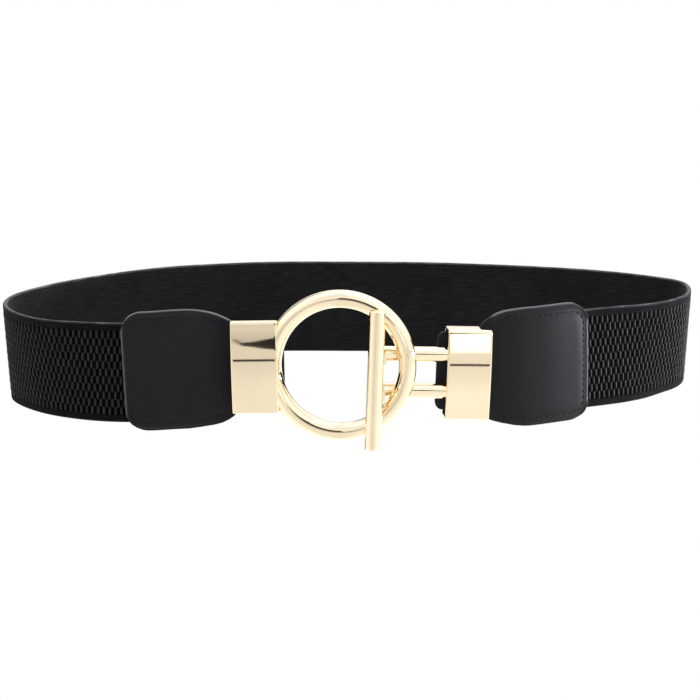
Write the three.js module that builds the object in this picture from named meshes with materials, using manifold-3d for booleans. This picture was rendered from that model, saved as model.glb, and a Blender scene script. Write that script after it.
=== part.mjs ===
// A worn elastic belt, fastened and standing on its lower edge: a woven elastic band, two leather
// ends, a ring on a metal sleeve, and a bar on two rods on another sleeve, which hooks into the ring.
// Millimetres, +Z up. The clasp faces -Y and the band runs round the back at +Y.

import * as THREE from "three";
import { mergeVertices } from "three/addons/utils/BufferGeometryUtils.js";
import Module from "manifold-3d";

const wasm = await Module();
wasm.setup();

// The loop, measured along the middle of the wall at half height
const loopWidth = 278.4;
const loopDepth = 132.6; // from the ring's plane to the back of the loop
const frontLift = 8.0; // how far the clasp holds the front of the band off the surface

// The elastic band
const bandHeight = 40.0;
const bandThickness = 2.2;
const selvedgeHeight = 2.8; // plain woven border along both edges
const selvedgeThickness = 1.8;
const selvedgeChamfer = 0.2;

// The leather ends
const leatherThickness = 1.1; // one layer
const tabLength = 43.0; // from the sleeve to the end
const tabMargin = 3.9; // leather past each edge of the band
const tabRise = 0.6; // the leather's middle sits this far above the band's middle
const tabCorner = 10.0;
const tabCrown = 0.35; // swell of each face at mid height
const tabEdgeRound = 0.55;
const tabEdgeSlope = 2.2; // where the two layers close over the band's edge
const bandSetback = 16.0; // inside the leather the band stops this far from the sleeve
const shoulderLength = 20.0;
const ringNeckPeek = 1.8; // what shows past the sleeve's inner end
const toggleNeckPeek = 3.2;
const neckCorner = 3.0;

// The metal sleeves
const sleeveHeight = 35.5;
const sleeveWall = 1.2;
const sleeveDome = 0.9; // swell of the front face
const sleeveCorner = 1.6;
const sleeveInnerCorner = 0.4;
const sleeveBevel = 0.35;
const ringSleeveLength = 18.5;
const toggleSleeveLength = 17.6;
const ringFlangeSetback = 2.0; // top, bottom and rear end this far before the front plate does
const toggleFlangeSetback = 4.5;

// The ring
const ringRadius = 26.4; // to the middle of the wire
const ringWire = 7.0;
const ringFloorGap = 1.7;
const ringOffset = -5.6; // the ring's middle, left of the loop's middle
const ringSeat = 2.3; // the wire's outermost middle lies this far inside the sleeve
const ringBite = 0.8; // the wire is soldered this deep into the sleeve's front plate
const ringSleeveDrop = 0.5; // the sleeve's middle below the ring's

// The bar and its two rods
const barLength = 55.0;
const barDiameter = 6.4;
const barChamfer = 0.5;
const barOffset = 13.9; // the bar's axis, right of the ring's middle
const rodDiameter = 6.1;
const rodSpacing = 14.6;
const rodRise = 1.0; // the rods' middle above the bar's
const rodRoot = 1.3; // the rods leave the bar this far right of its axis
const rodBend = 4.2; // bend radius where the rods turn from the bar to the sleeve
const rodSeat = 10.0; // length soldered inside the sleeve
const rodBite = 0.35; // and depth into its front plate
const toggleSleeveReach = 29.4; // from the bar's axis to the sleeve
const toggleSleeveRise = 0.9; // the sleeve's middle above the bar's

// How the two halves of the clasp stand, in degrees
const clasp = {
  ring: { yaw: -3, lean: -5, roll: -1.5 },
  toggle: { yaw: 5.5, lean: -5, roll: 2.4 },
};

// Clearances
const fitGap = 0.3; // between pieces that touch
const hookGap = 0.5; // between the ring and the bar or the rods
const neckGap = 0.5; // between the leather and the wire in front of it
const neckSideGap = 0.8; // above and below the leather inside the sleeve

// How finely the curves are faceted
const bandStep = 5.5;
const ringSteps = 72;
const wireSides = 18;
const rodSteps = 34;
const rodSides = 16;
const barSides = 24;
const domeSteps = 9;
const pathSteps = 1500; // for measuring along the belt
const weldDistance = 1e-4;

const halfBand = bandHeight / 2;
const wireRadius = ringWire / 2;
const barRadius = barDiameter / 2;
const rodRadius = rodDiameter / 2;
const tabHeight = bandHeight + 2 * tabMargin;
const neckHeight = sleeveHeight - 2 * (sleeveWall + neckSideGap);

// The band's stations, from the ring side round the back to the bar side. across is a share of half
// the loop's width, back of its depth, lift of the front's lift; lean is the wall's outward lean in degrees.
const bandStations = [
  { across: -0.5, back: 0.032, lift: 1.08, lean: -4 },
  { across: -0.666, back: 0.028, lift: 0.93, lean: -2.5 },
  { across: -0.766, back: 0.046, lift: 0.92, lean: -0.5 },
  { across: -0.862, back: 0.089, lift: 0.88, lean: 3 },
  { across: -0.942, back: 0.167, lift: 0.8, lean: 4 },
  { across: -1.008, back: 0.302, lift: 0.67, lean: 3 },
  { across: -1.003, back: 0.452, lift: 0.52, lean: 3 },
  { across: -0.933, back: 0.592, lift: 0.38, lean: 4 },
  { across: -0.774, back: 0.774, lift: 0.2, lean: 5.5 },
  { across: -0.598, back: 0.907, lift: 0.07, lean: 6.2 },
  { across: -0.361, back: 0.985, lift: 0, lean: 6.7 },
  { across: -0.012, back: 1, lift: 0, lean: 6.7 },
  { across: 0.336, back: 0.978, lift: 0, lean: 6.7 },
  { across: 0.577, back: 0.92, lift: 0.06, lean: 6 },
  { across: 0.761, back: 0.854, lift: 0.12, lean: 5.5 },
  { across: 0.907, back: 0.759, lift: 0.22, lean: 4.5 },
  { across: 0.989, back: 0.678, lift: 0.3, lean: 3 },
  { across: 1.002, back: 0.569, lift: 0.4, lean: 2.5 },
  { across: 0.97, back: 0.456, lift: 0.5, lean: 3.5 },
  { across: 0.927, back: 0.397, lift: 0.55, lean: 3.5 },
  { across: 0.846, back: 0.3175, lift: 0.62, lean: -0.5 },
  { across: 0.764, back: 0.266, lift: 0.7, lean: -5 },
  { across: 0.685, back: 0.225, lift: 0.75, lean: -6 },
  { across: 0.54, back: 0.143, lift: 0.84, lean: -5.5 },
];

// The leather's shoulder, from the sleeve outwards: along is a share of its length, grown of the
// step from the neck's height to the full height.
const shoulder = [
  { along: 0, grown: 0 },
  { along: 0.04, grown: 0.25 },
  { along: 0.1, grown: 0.4 },
  { along: 0.21, grown: 0.56 },
  { along: 0.35, grown: 0.72 },
  { along: 0.52, grown: 0.84 },
  { along: 0.78, grown: 0.95 },
  { along: 1, grown: 1 },
];

// Where the outline is sampled along a rounded corner, as shares of its radius
const cornerShares = [0, 0.04, 0.15, 0.35, 0.65, 1];

const radians = THREE.MathUtils.degToRad;

// Booleans on closed meshes
function solidOf(geometry) {
  const bare = new THREE.BufferGeometry();
  bare.setAttribute("position", geometry.getAttribute("position"));
  if (geometry.index) bare.setIndex(geometry.index);
  const merged = mergeVertices(bare, weldDistance);
  return new wasm.Manifold(
    new wasm.Mesh({
      numProp: 3,
      vertProperties: merged.attributes.position.array,
      triVerts: new Uint32Array(merged.index.array),
    }),
  );
}

function geometryOf(solid) {
  const mesh = solid.getMesh();
  const geometry = new THREE.BufferGeometry();
  geometry.setAttribute("position", new THREE.BufferAttribute(mesh.vertProperties, 3));
  geometry.setIndex(new THREE.BufferAttribute(mesh.triVerts, 1));
  geometry.computeVertexNormals();
  return geometry;
}

// A closed solid through sections of equally many points, each given anticlockwise seen from its end
function loft(sections) {
  const sides = sections[0].length;
  const positions = sections.flat().flatMap((point) => point.toArray());
  const index = [];
  for (let row = 0; row < sections.length - 1; row++) {
    for (let side = 0; side < sides; side++) {
      const next = (side + 1) % sides;
      const a = row * sides + side;
      const b = row * sides + next;
      const c = a + sides;
      const d = b + sides;
      index.push(a, b, d, a, d, c);
    }
  }
  // An end's outline is symmetric about its middle line, so a ladder of triangles closes it
  const closeEnd = (first, flip) => {
    for (let low = 0, high = sides - 1; high - low > 1; low++, high--) {
      const quad = [first + low, first + low + 1, first + high - 1, first + high];
      const triangles = [[quad[0], quad[1], quad[3]]];
      if (high - low > 2) triangles.push([quad[1], quad[2], quad[3]]);
      for (const [a, b, c] of triangles) index.push(...(flip ? [c, b, a] : [a, b, c]));
    }
  };
  closeEnd(0, true);
  closeEnd((sections.length - 1) * sides, false);
  const geometry = new THREE.BufferGeometry();
  geometry.setAttribute("position", new THREE.Float32BufferAttribute(positions, 3));
  geometry.setIndex(index);
  return geometry;
}

// The path of the belt's middle, a smooth curve in plan with a lift and two tilts along it
class BeltPath extends THREE.Curve {
  constructor(stations) {
    super();
    this.arcLengthDivisions = pathSteps;
    this.stations = stations;
    this.knots = [0];
    for (let i = 1; i < stations.length; i++) {
      const step = Math.hypot(stations[i].x - stations[i - 1].x, stations[i].y - stations[i - 1].y);
      this.knots.push(this.knots[i - 1] + step);
    }
    this.slopes = {};
    for (const name of ["x", "y"]) {
      this.slopes[name] = stations.map((_, i) => this.smoothSlope(name, i));
    }
    for (const name of ["lift", "lean", "slant"]) {
      this.slopes[name] = stations.map((_, i) => this.evenSlope(name, i));
    }
  }

  rate(name, i) {
    return (this.stations[i + 1][name] - this.stations[i][name]) / (this.knots[i + 1] - this.knots[i]);
  }

  // A station that states its own direction keeps it
  smoothSlope(name, i) {
    const station = this.stations[i];
    if (station.heading) return station.heading[name];
    const before = this.knots[i] - this.knots[i - 1];
    const after = this.knots[i + 1] - this.knots[i];
    return (this.rate(name, i - 1) * after + this.rate(name, i) * before) / (before + after);
  }

  // Never overshoots, so a level stretch stays level
  evenSlope(name, i) {
    if (i === 0 || i === this.stations.length - 1) return 0;
    const before = this.rate(name, i - 1);
    const after = this.rate(name, i);
    return before * after > 0 ? (2 * before * after) / (before + after) : 0;
  }

  value(name, t) {
    const knot = t * this.knots.at(-1);
    let i = 0;
    while (i < this.knots.length - 2 && knot > this.knots[i + 1]) i++;
    const span = this.knots[i + 1] - this.knots[i];
    const k = (knot - this.knots[i]) / span;
    const rest = 1 - k;
    const [from, to] = [this.stations[i][name], this.stations[i + 1][name]];
    const [leave, arrive] = [this.slopes[name][i], this.slopes[name][i + 1]];
    return (
      (1 + 2 * k) * rest * rest * from +
      k * k * (3 - 2 * k) * to +
      span * k * rest * (rest * leave - k * arrive)
    );
  }

  getPoint(t, target = new THREE.Vector3()) {
    const upright = Math.cos(radians(this.value("lean", t))) * Math.cos(radians(this.value("slant", t)));
    return target.set(this.value("x", t), this.value("y", t), this.value("lift", t) + halfBand * upright);
  }

  // Middle, outward direction and upward direction at a distance along the belt
  frameAt(distance) {
    const t = this.getUtoTmapping(distance / this.getLength());
    const along = this.getTangent(t).setZ(0).normalize();
    const out = new THREE.Vector3(-along.y, along.x, 0);
    const lean = radians(this.value("lean", t));
    const slant = radians(this.value("slant", t));
    const up = new THREE.Vector3(0, 0, Math.cos(lean) * Math.cos(slant))
      .addScaledVector(out, Math.sin(lean))
      .addScaledVector(along, Math.sin(slant));
    return { middle: this.getPoint(t), out, up };
  }
}

// Places a section's half outline, given as [out, up] from bottom to top, on both sides of the path
function sectionAt(path, distance, half, rise = 0) {
  const { middle, out, up } = path.frameAt(distance);
  const place = ([outward, upward]) =>
    middle.clone().addScaledVector(out, outward).addScaledVector(up, upward + rise);
  const otherHalf = half.map(([outward, upward]) => [-outward, upward]).reverse();
  return [...otherHalf, ...half].map(place);
}

// The two halves of the clasp as frames: yaw turns each about the upright, lean tips its top back,
// roll turns it in its own plane
function frameOf({ yaw, lean, roll }, origin) {
  const turn = new THREE.Matrix4()
    .makeRotationZ(radians(yaw))
    .multiply(new THREE.Matrix4().makeRotationX(radians(lean)))
    .multiply(new THREE.Matrix4().makeRotationY(radians(roll)));
  return turn.setPosition(origin);
}

const at = (frame, x, y, z) => new THREE.Vector3(x, y, z).applyMatrix4(frame);
const axisOf = (frame, x, y, z) => new THREE.Vector3(x, y, z).transformDirection(frame);

// The ring stands over the surface, and the bar's foot rests on it
const ringTilt = Math.cos(radians(clasp.ring.lean));
const ringFrame = frameOf(
  clasp.ring,
  new THREE.Vector3(ringOffset, 0, ringFloorGap + ringRadius * ringTilt + wireRadius),
);
const barStand = wireRadius + barRadius + hookGap; // the bar's axis in front of the ring's plane
const barUp = axisOf(frameOf(clasp.toggle, new THREE.Vector3()), 0, 0, 1);
const barMiddleHeight = (barLength / 2) * barUp.z + barRadius * Math.sqrt(1 - barUp.z ** 2);
const barBeforeDrop = at(ringFrame, barOffset, -barStand, 0);
const ringUp = axisOf(ringFrame, 0, 0, 1);
const barDrop = (barMiddleHeight - barBeforeDrop.z) / ringUp.z;
const toggleFrame = frameOf(clasp.toggle, at(ringFrame, barOffset, -barStand, barDrop));

// The rods pass behind the ring's far arc, which the turn between the two halves brings nearer
const lowRodHeight = barDrop + rodRise - rodSpacing / 2;
const crossing = Math.sqrt(ringRadius ** 2 - lowRodHeight ** 2) - barOffset;
const rodStand = wireRadius + rodRadius + hookGap;
const rodSet = barStand + rodStand - crossing * Math.tan(radians(clasp.toggle.yaw - clasp.ring.yaw));

// Depths inside a sleeve, from its front face back
const wireDepth = sleeveWall - ringBite + wireRadius;
const rodDepth = sleeveWall - rodBite + rodRadius;
const metalBack = Math.max(wireDepth + wireRadius, rodDepth + rodRadius);
const neckDepth = metalBack + neckGap + leatherThickness;
const sleeveDepth = neckDepth + leatherThickness + fitGap + sleeveWall;
const ringSleeveReach = ringRadius - ringSeat; // from the ring's middle to the sleeve

const ringSleeve = {
  frame: ringFrame,
  inner: -ringSleeveReach,
  outer: -ringSleeveReach - ringSleeveLength,
  face: -wireDepth,
  rise: -ringSleeveDrop,
  setback: ringFlangeSetback,
};
const toggleSleeve = {
  frame: toggleFrame,
  inner: toggleSleeveReach,
  outer: toggleSleeveReach + toggleSleeveLength,
  face: rodSet - rodDepth,
  rise: toggleSleeveRise,
  setback: toggleFlangeSetback,
};

// A station on a sleeve's own line, which the path follows straight
function sleeveStation(sleeve, x, heading) {
  const middle = at(sleeve.frame, x, sleeve.face + neckDepth, sleeve.rise);
  const along = axisOf(sleeve.frame, heading, 0, 0).setZ(0).normalize();
  const up = axisOf(sleeve.frame, 0, 0, 1);
  const out = new THREE.Vector3(-along.y, along.x, 0);
  return {
    x: middle.x,
    y: middle.y,
    lift: middle.z - halfBand * up.z,
    lean: THREE.MathUtils.radToDeg(Math.asin(up.dot(out))),
    slant: THREE.MathUtils.radToDeg(Math.asin(up.dot(along))),
    heading: along,
  };
}

const beltPath = new BeltPath([
  sleeveStation(ringSleeve, ringSleeve.inner + ringNeckPeek, -1),
  sleeveStation(ringSleeve, ringSleeve.outer, -1),
  ...bandStations.map(({ across, back, lift, lean }) => ({
    x: (across * loopWidth) / 2,
    y: back * loopDepth,
    lift: lift * frontLift,
    lean,
    slant: 0,
  })),
  sleeveStation(toggleSleeve, toggleSleeve.outer, -1),
  sleeveStation(toggleSleeve, toggleSleeve.inner - toggleNeckPeek, -1),
]);
const beltLength = beltPath.getLength();

// The elastic band
function bandHalf() {
  const body = bandThickness / 2;
  const border = selvedgeThickness / 2;
  const step = halfBand - selvedgeHeight;
  const ramp = body - border;
  const lower = [
    [border - selvedgeChamfer, -halfBand],
    [border, -halfBand + selvedgeChamfer],
    [border, -step - ramp],
    [body, -step],
  ];
  return [...lower, ...lower.map(([out, up]) => [out, -up]).reverse()];
}

function stretch(from, to, stepLength) {
  const steps = Math.max(1, Math.ceil((to - from) / stepLength));
  return Array.from({ length: steps + 1 }, (_, i) => from + ((to - from) * i) / steps);
}

const ringNeck = ringNeckPeek + ringSleeveLength;
const toggleNeck = toggleNeckPeek + toggleSleeveLength;
const bandFrom = ringNeck + bandSetback;
const bandTo = beltLength - toggleNeck - bandSetback;

function makeBand() {
  const half = bandHalf();
  return loft(stretch(bandFrom, bandTo, bandStep).map((distance) => sectionAt(beltPath, distance, half)));
}

// The leather ends
function grownAt(along) {
  const next = Math.max(1, shoulder.findIndex((row) => row.along >= along));
  const [a, b] = [shoulder[next - 1], shoulder[next]];
  return a.grown + ((b.grown - a.grown) * (along - a.along)) / (b.along - a.along);
}

const roundedBy = (corner, distance) =>
  distance >= corner ? 0 : corner - Math.sqrt(corner ** 2 - (corner - distance) ** 2);

// Half of the leather's outline at a distance from its tip in the neck
function tabHalf(distance, neck, setback) {
  const flange = neck - setback;
  const along = THREE.MathUtils.clamp((distance - flange) / shoulderLength, 0, 1);
  const grown = grownAt(along);
  const full = (neckHeight + (tabHeight - neckHeight) * grown) / 2;
  const height = full - roundedBy(tabCorner, neck + tabLength - distance) - roundedBy(neckCorner, distance);
  const swell = THREE.MathUtils.smoothstep(along, 0, 1);
  const middle = leatherThickness + (bandThickness / 2 + fitGap) * swell;
  // Past the band's edges the two layers meet, and over the band they keep their full thickness
  const meeting = THREE.MathUtils.smoothstep(height, halfBand + tabRise, tabHeight / 2);
  const edge = middle - (middle - leatherThickness) * meeting;
  const crownAt = (share) => middle + tabCrown * swell * (1 - share ** 2);
  const lower = [
    [edge - tabEdgeRound, -height],
    [edge, -height + tabEdgeRound],
    [middle, -height + tabEdgeSlope],
    [crownAt(0.5), -height / 2],
  ];
  return [...lower, [crownAt(0), 0], ...lower.map(([out, up]) => [out, -up]).reverse()];
}

function tabDistances(neck, setback) {
  const flange = neck - setback;
  const end = neck + tabLength;
  const corner = (radius) => cornerShares.map((share) => share * radius);
  return [
    ...corner(neckCorner),
    ...shoulder.map((row) => flange + row.along * shoulderLength),
    ...stretch(flange + shoulderLength, end - tabCorner, bandStep).slice(1, -1),
    ...corner(tabCorner)
      .reverse()
      .map((before) => end - before),
  ];
}

// fromTip turns a distance from the leather's tip into one along the belt
function makeTab(neck, setback, fromTip) {
  const rise = (distance) =>
    tabRise * THREE.MathUtils.smoothstep(distance, neck - setback, neck + tabLength);
  const order = (list) => (fromTip(0) > fromTip(1) ? [...list].reverse() : list);
  const outline = order(tabDistances(neck, setback)).map((distance) =>
    sectionAt(beltPath, fromTip(distance), tabHalf(distance, neck, setback), rise(distance)),
  );
  const pocketHalf = [
    [bandThickness / 2 + fitGap, -halfBand - fitGap],
    [bandThickness / 2 + fitGap, halfBand + fitGap],
  ];
  const inner = neck + bandSetback - fitGap;
  const pocket = order(stretch(inner, neck + tabLength + tabCorner, bandStep)).map((distance) =>
    sectionAt(beltPath, fromTip(distance), pocketHalf),
  );
  return geometryOf(solidOf(loft(outline)).subtract(solidOf(loft(pocket))));
}

// The metal sleeves: a flat tube with a domed front, open at both ends
function sleeveOutline(inset, corner) {
  const half = sleeveHeight / 2 - inset;
  const front = inset;
  const rear = sleeveDepth - inset;
  const shape = new THREE.Shape();
  shape.moveTo(front + corner + sleeveDome, -half);
  shape.lineTo(rear - corner, -half);
  shape.quadraticCurveTo(rear, -half, rear, -half + corner);
  shape.lineTo(rear, half - corner);
  shape.quadraticCurveTo(rear, half, rear - corner, half);
  shape.lineTo(front + corner + sleeveDome, half);
  shape.quadraticCurveTo(front + sleeveDome, half, front + sleeveDome, half - corner);
  shape.quadraticCurveTo(front - sleeveDome, 0, front + sleeveDome, -half + corner);
  shape.quadraticCurveTo(front + sleeveDome, -half, front + corner + sleeveDome, -half);
  return shape;
}

// Turns a shape drawn in depth and height into a bar along X, from low to high
function alongX(shape, low, high, bevel) {
  const geometry = new THREE.ExtrudeGeometry(shape, {
    depth: high - low - 2 * bevel,
    bevelEnabled: bevel > 0,
    bevelThickness: bevel,
    bevelSize: bevel,
    bevelOffset: -bevel,
    bevelSegments: 1,
    curveSegments: domeSteps,
  });
  const basis = new THREE.Matrix4().makeBasis(
    new THREE.Vector3(0, 1, 0),
    new THREE.Vector3(0, 0, 1),
    new THREE.Vector3(1, 0, 0),
  );
  return geometry.applyMatrix4(basis).translate(low + bevel, 0, 0);
}

function makeSleeve({ inner, outer, face, rise, setback }) {
  const [low, high] = [Math.min(inner, outer), Math.max(inner, outer)];
  const margin = sleeveWall;
  const shell = solidOf(alongX(sleeveOutline(0, sleeveCorner), low, high, sleeveBevel)).subtract(
    solidOf(alongX(sleeveOutline(sleeveWall, sleeveInnerCorner), low - margin, high + margin, 0)),
  );
  // Behind the front plate the sleeve stops short of the plate's outer end
  const clearHeight = sleeveHeight + 2 * margin;
  const relief = new THREE.BoxGeometry(setback + margin, sleeveDepth, clearHeight);
  const direction = Math.sign(outer - inner);
  relief.translate(
    outer + (direction * (margin - setback)) / 2,
    sleeveDepth / 2 + sleeveDome + sleeveCorner + sleeveWall,
    0,
  );
  return shell.subtract(solidOf(relief)).translate(0, face, rise);
}

function makeRingBuckle() {
  const ring = new THREE.TorusGeometry(ringRadius, wireRadius, wireSides, ringSteps).rotateX(Math.PI / 2);
  const solid = makeSleeve(ringSleeve).add(solidOf(ring));
  return geometryOf(solid).applyMatrix4(ringFrame);
}

// A rod runs back from the bar, bends, and runs along to the sleeve
function makeRod(height) {
  const path = new THREE.CurvePath();
  const start = new THREE.Vector3(rodRoot, 0, height);
  const bendFrom = new THREE.Vector3(rodRoot, rodSet - rodBend, height);
  const corner = new THREE.Vector3(rodRoot, rodSet, height);
  const bendTo = new THREE.Vector3(rodRoot + rodBend, rodSet, height);
  const end = new THREE.Vector3(toggleSleeveReach + rodSeat, rodSet, height);
  path.add(new THREE.LineCurve3(start, bendFrom));
  path.add(new THREE.QuadraticBezierCurve3(bendFrom, corner, bendTo));
  path.add(new THREE.LineCurve3(bendTo, end));
  const section = new THREE.Shape().absarc(0, 0, rodRadius, 0, 2 * Math.PI);
  return new THREE.ExtrudeGeometry(section, {
    steps: rodSteps,
    extrudePath: path,
    bevelEnabled: false,
    curveSegments: rodSides / 2,
  });
}

function makeBar() {
  const half = barLength / 2;
  const profile = [
    new THREE.Vector2(0, -half),
    new THREE.Vector2(barRadius - barChamfer, -half),
    new THREE.Vector2(barRadius, -half + barChamfer),
    new THREE.Vector2(barRadius, half - barChamfer),
    new THREE.Vector2(barRadius - barChamfer, half),
    new THREE.Vector2(0, half),
  ];
  return new THREE.LatheGeometry(profile, barSides).rotateX(Math.PI / 2);
}

function makeToggleBuckle() {
  const rods = [-1, 1].map((side) => solidOf(makeRod(rodRise + (side * rodSpacing) / 2)));
  const solid = makeSleeve(toggleSleeve).add(solidOf(makeBar())).add(rods[0]).add(rods[1]);
  return geometryOf(solid).applyMatrix4(toggleFrame);
}

// Materials
const elastic = new THREE.MeshStandardMaterial({ color: 0x17181b, roughness: 0.92, metalness: 0 });
const leather = new THREE.MeshStandardMaterial({ color: 0x1d1d20, roughness: 0.55, metalness: 0 });
const paleGold = new THREE.MeshStandardMaterial({ color: 0xf0dcae, roughness: 0.12, metalness: 1 });

function named(name, geometry, material) {
  const mesh = new THREE.Mesh(geometry, material);
  mesh.name = name;
  return mesh;
}

const belt = new THREE.Group();
belt.add(
  named("elastic_band", makeBand(), elastic),
  named("ring_tab", makeTab(ringNeck, ringFlangeSetback, (distance) => distance), leather),
  named("toggle_tab", makeTab(toggleNeck, toggleFlangeSetback, (distance) => beltLength - distance), leather),
  named("ring_buckle", makeRingBuckle(), paleGold),
  named("toggle_buckle", makeToggleBuckle(), paleGold),
);

// The origin is on the surface, under the middle of the whole belt
const bounds = new THREE.Box3().setFromObject(belt, true);
const middle = bounds.getCenter(new THREE.Vector3());
belt.position.set(-middle.x, -middle.y, -bounds.min.z);

export default belt;
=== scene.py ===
import math

import bpy
import numpy as np
from mathutils import Matrix, Vector


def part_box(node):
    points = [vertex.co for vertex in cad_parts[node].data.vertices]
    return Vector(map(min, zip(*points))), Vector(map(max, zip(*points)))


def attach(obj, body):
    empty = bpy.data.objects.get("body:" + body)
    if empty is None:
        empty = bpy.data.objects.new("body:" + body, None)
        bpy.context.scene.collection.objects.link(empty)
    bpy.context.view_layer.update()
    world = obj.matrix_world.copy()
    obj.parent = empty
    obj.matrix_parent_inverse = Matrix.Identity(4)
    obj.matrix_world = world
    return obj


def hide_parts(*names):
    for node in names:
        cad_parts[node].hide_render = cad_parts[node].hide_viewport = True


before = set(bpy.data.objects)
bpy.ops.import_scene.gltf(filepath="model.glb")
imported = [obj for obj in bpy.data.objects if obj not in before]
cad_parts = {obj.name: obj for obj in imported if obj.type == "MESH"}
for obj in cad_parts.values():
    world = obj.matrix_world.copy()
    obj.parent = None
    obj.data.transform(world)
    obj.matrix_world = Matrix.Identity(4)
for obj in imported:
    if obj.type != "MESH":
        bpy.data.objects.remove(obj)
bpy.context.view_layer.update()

mm = 0.001


# Small curve helpers

def smoothStep(value, low, high):
    k = np.clip((value - low) / (high - low), 0, 1)
    return k * k * (3 - 2 * k)


def quadratic(start, pull, end, count):  # points on a curve bent towards pull, without its last point
    t = np.linspace(0, 1, count, endpoint=False)[:, None]
    start, pull, end = np.array(start), np.array(pull), np.array(end)
    return (1 - t) ** 2 * start + 2 * t * (1 - t) * pull + t * t * end


def roundedBy(corner, before):  # how much a rounded corner takes off, this far before the end
    before = np.clip(before, 0, corner)
    return corner - np.sqrt(corner ** 2 - (corner - before) ** 2)


def frameOf(turn, origin):  # yaw about the upright, lean of the top, roll in the piece's own plane
    yaw = Matrix.Rotation(math.radians(turn["yaw"]), 4, "Z")
    lean = Matrix.Rotation(math.radians(turn["lean"]), 4, "X")
    roll = Matrix.Rotation(math.radians(turn["roll"]), 4, "Y")
    return Matrix.Translation(origin) @ yaw @ lean @ roll


# Mesh helpers

def meshObject(name, points, faces, uvs=None, smooth=True):
    mesh = bpy.data.meshes.new(name)
    mesh.from_pydata([tuple(p) for p in points], [], [tuple(f) for f in faces])
    if uvs is not None:
        layer = mesh.uv_layers.new(name="UVMap")
        corners = np.empty(len(mesh.loops), np.int32)
        mesh.loops.foreach_get("vertex_index", corners)
        layer.data.foreach_set("uv", np.asarray(uvs, np.float32)[corners].ravel())
    mesh.polygons.foreach_set("use_smooth", [smooth] * len(mesh.polygons))
    mesh.validate()
    made = bpy.data.objects.new(name, mesh)
    bpy.context.scene.collection.objects.link(made)
    return made


def loftFaces(rows, sides, closed=True):  # quads between rows of points, and an end face on each end
    faces = []
    for row in range(rows - 1):
        for side in range(sides if closed else sides - 1):
            a, b = row * sides + side, row * sides + (side + 1) % sides
            faces.append((a, b, b + sides, a + sides))
    if closed:
        faces.append(tuple(reversed(range(sides))))
        faces.append(tuple(range((rows - 1) * sides, rows * sides)))
    return faces


def loftObject(name, rings, uvs=None):
    rings = np.asarray(rings)
    rows, sides = rings.shape[:2]
    flat = None if uvs is None else np.asarray(uvs).reshape(-1, 2)
    return outwards(meshObject(name, rings.reshape(-1, 3), loftFaces(rows, sides), flat))


def outwards(piece):  # turns a closed mesh so that its faces point out
    mesh = piece.data
    points = np.empty(len(mesh.vertices) * 3)
    mesh.vertices.foreach_get("co", points)
    points = points.reshape(-1, 3)
    mesh.calc_loop_triangles()
    corners = np.empty(len(mesh.loop_triangles) * 3, np.int32)
    mesh.loop_triangles.foreach_get("vertices", corners)
    a, b, c = (points[corners.reshape(-1, 3)[:, k]] for k in range(3))
    if np.einsum("ij,ij->", a, np.cross(b, c)) < 0:
        mesh.flip_normals()
    return piece


def addBoolean(piece, other, operation):
    cut = piece.modifiers.new(operation.lower(), "BOOLEAN")
    cut.operation = operation
    cut.solver = "MANIFOLD"
    cut.object = other
    other.hide_render = True
    return cut


def baked(piece, name, sharpAngle, helpers=()):  # the modifiers' result as a plain mesh of its own
    depsgraph = bpy.context.evaluated_depsgraph_get()
    mesh = bpy.data.meshes.new_from_object(piece.evaluated_get(depsgraph), depsgraph=depsgraph)
    mesh.name = name
    mesh.polygons.foreach_set("use_smooth", [True] * len(mesh.polygons))
    mesh.set_sharp_from_angle(angle=math.radians(sharpAngle))
    made = bpy.data.objects.new(name, mesh)
    bpy.context.scene.collection.objects.link(made)
    for gone in (piece, *helpers):
        bpy.data.objects.remove(gone)
    return made


def dress(piece, node):
    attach(piece, "root")
    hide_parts(node)
    print("dressed", node, len(piece.data.polygons), "faces")


# Node helpers, for shader and geometry trees alike

def feed(tree, node, inputs):  # links a node's inputs, or sets their values
    for key, value in inputs.items():
        if isinstance(value, bpy.types.NodeSocket):
            tree.links.new(value, node.inputs[key])
        else:
            node.inputs[key].default_value = value


def addNode(tree, kind, inputs=None, **settings):
    node = tree.nodes.new(kind)
    for key, value in settings.items():
        setattr(node, key, value)
    feed(tree, node, inputs or {})
    return node


def mathNode(tree, operation, *values):
    return addNode(tree, "ShaderNodeMath", dict(enumerate(values)), operation=operation).outputs[0]


def vectorNode(tree, operation, *values):
    return addNode(tree, "ShaderNodeVectorMath", dict(enumerate(values)), operation=operation).outputs[0]


def product(tree, *values):
    whole = values[0]
    for value in values[1:]:
        whole = mathNode(tree, "MULTIPLY", whole, value)
    return whole


def ranged(tree, value, source, target=(0.0, 1.0)):  # moves a value into another range and holds it there
    limits = {1: source[0], 2: source[1], 3: target[0], 4: target[1]}
    return addNode(tree, "ShaderNodeMapRange", {0: value, **limits}).outputs[0]


def noiseOn(tree, where, scale, detail, **more):
    inputs = {"Vector": where, "Scale": scale, "Detail": detail, **more}
    return addNode(tree, "ShaderNodeTexNoise", inputs).outputs[0]


def partsOf(tree, vector):
    return addNode(tree, "ShaderNodeSeparateXYZ", {0: vector}).outputs


def newGroup(name, kind, inputs, outputs):  # inputs: a label, a kind of socket and a value if it has one
    tree = bpy.data.node_groups.new(name, kind)
    for label, socket, *value in inputs:
        made = tree.interface.new_socket(label, in_out="INPUT", socket_type="NodeSocket" + socket)
        if value:
            made.default_value = value[0]
    for label, socket in outputs:
        tree.interface.new_socket(label, in_out="OUTPUT", socket_type="NodeSocket" + socket)
    return tree, tree.nodes.new("NodeGroupInput").outputs, tree.nodes.new("NodeGroupOutput")


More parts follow.
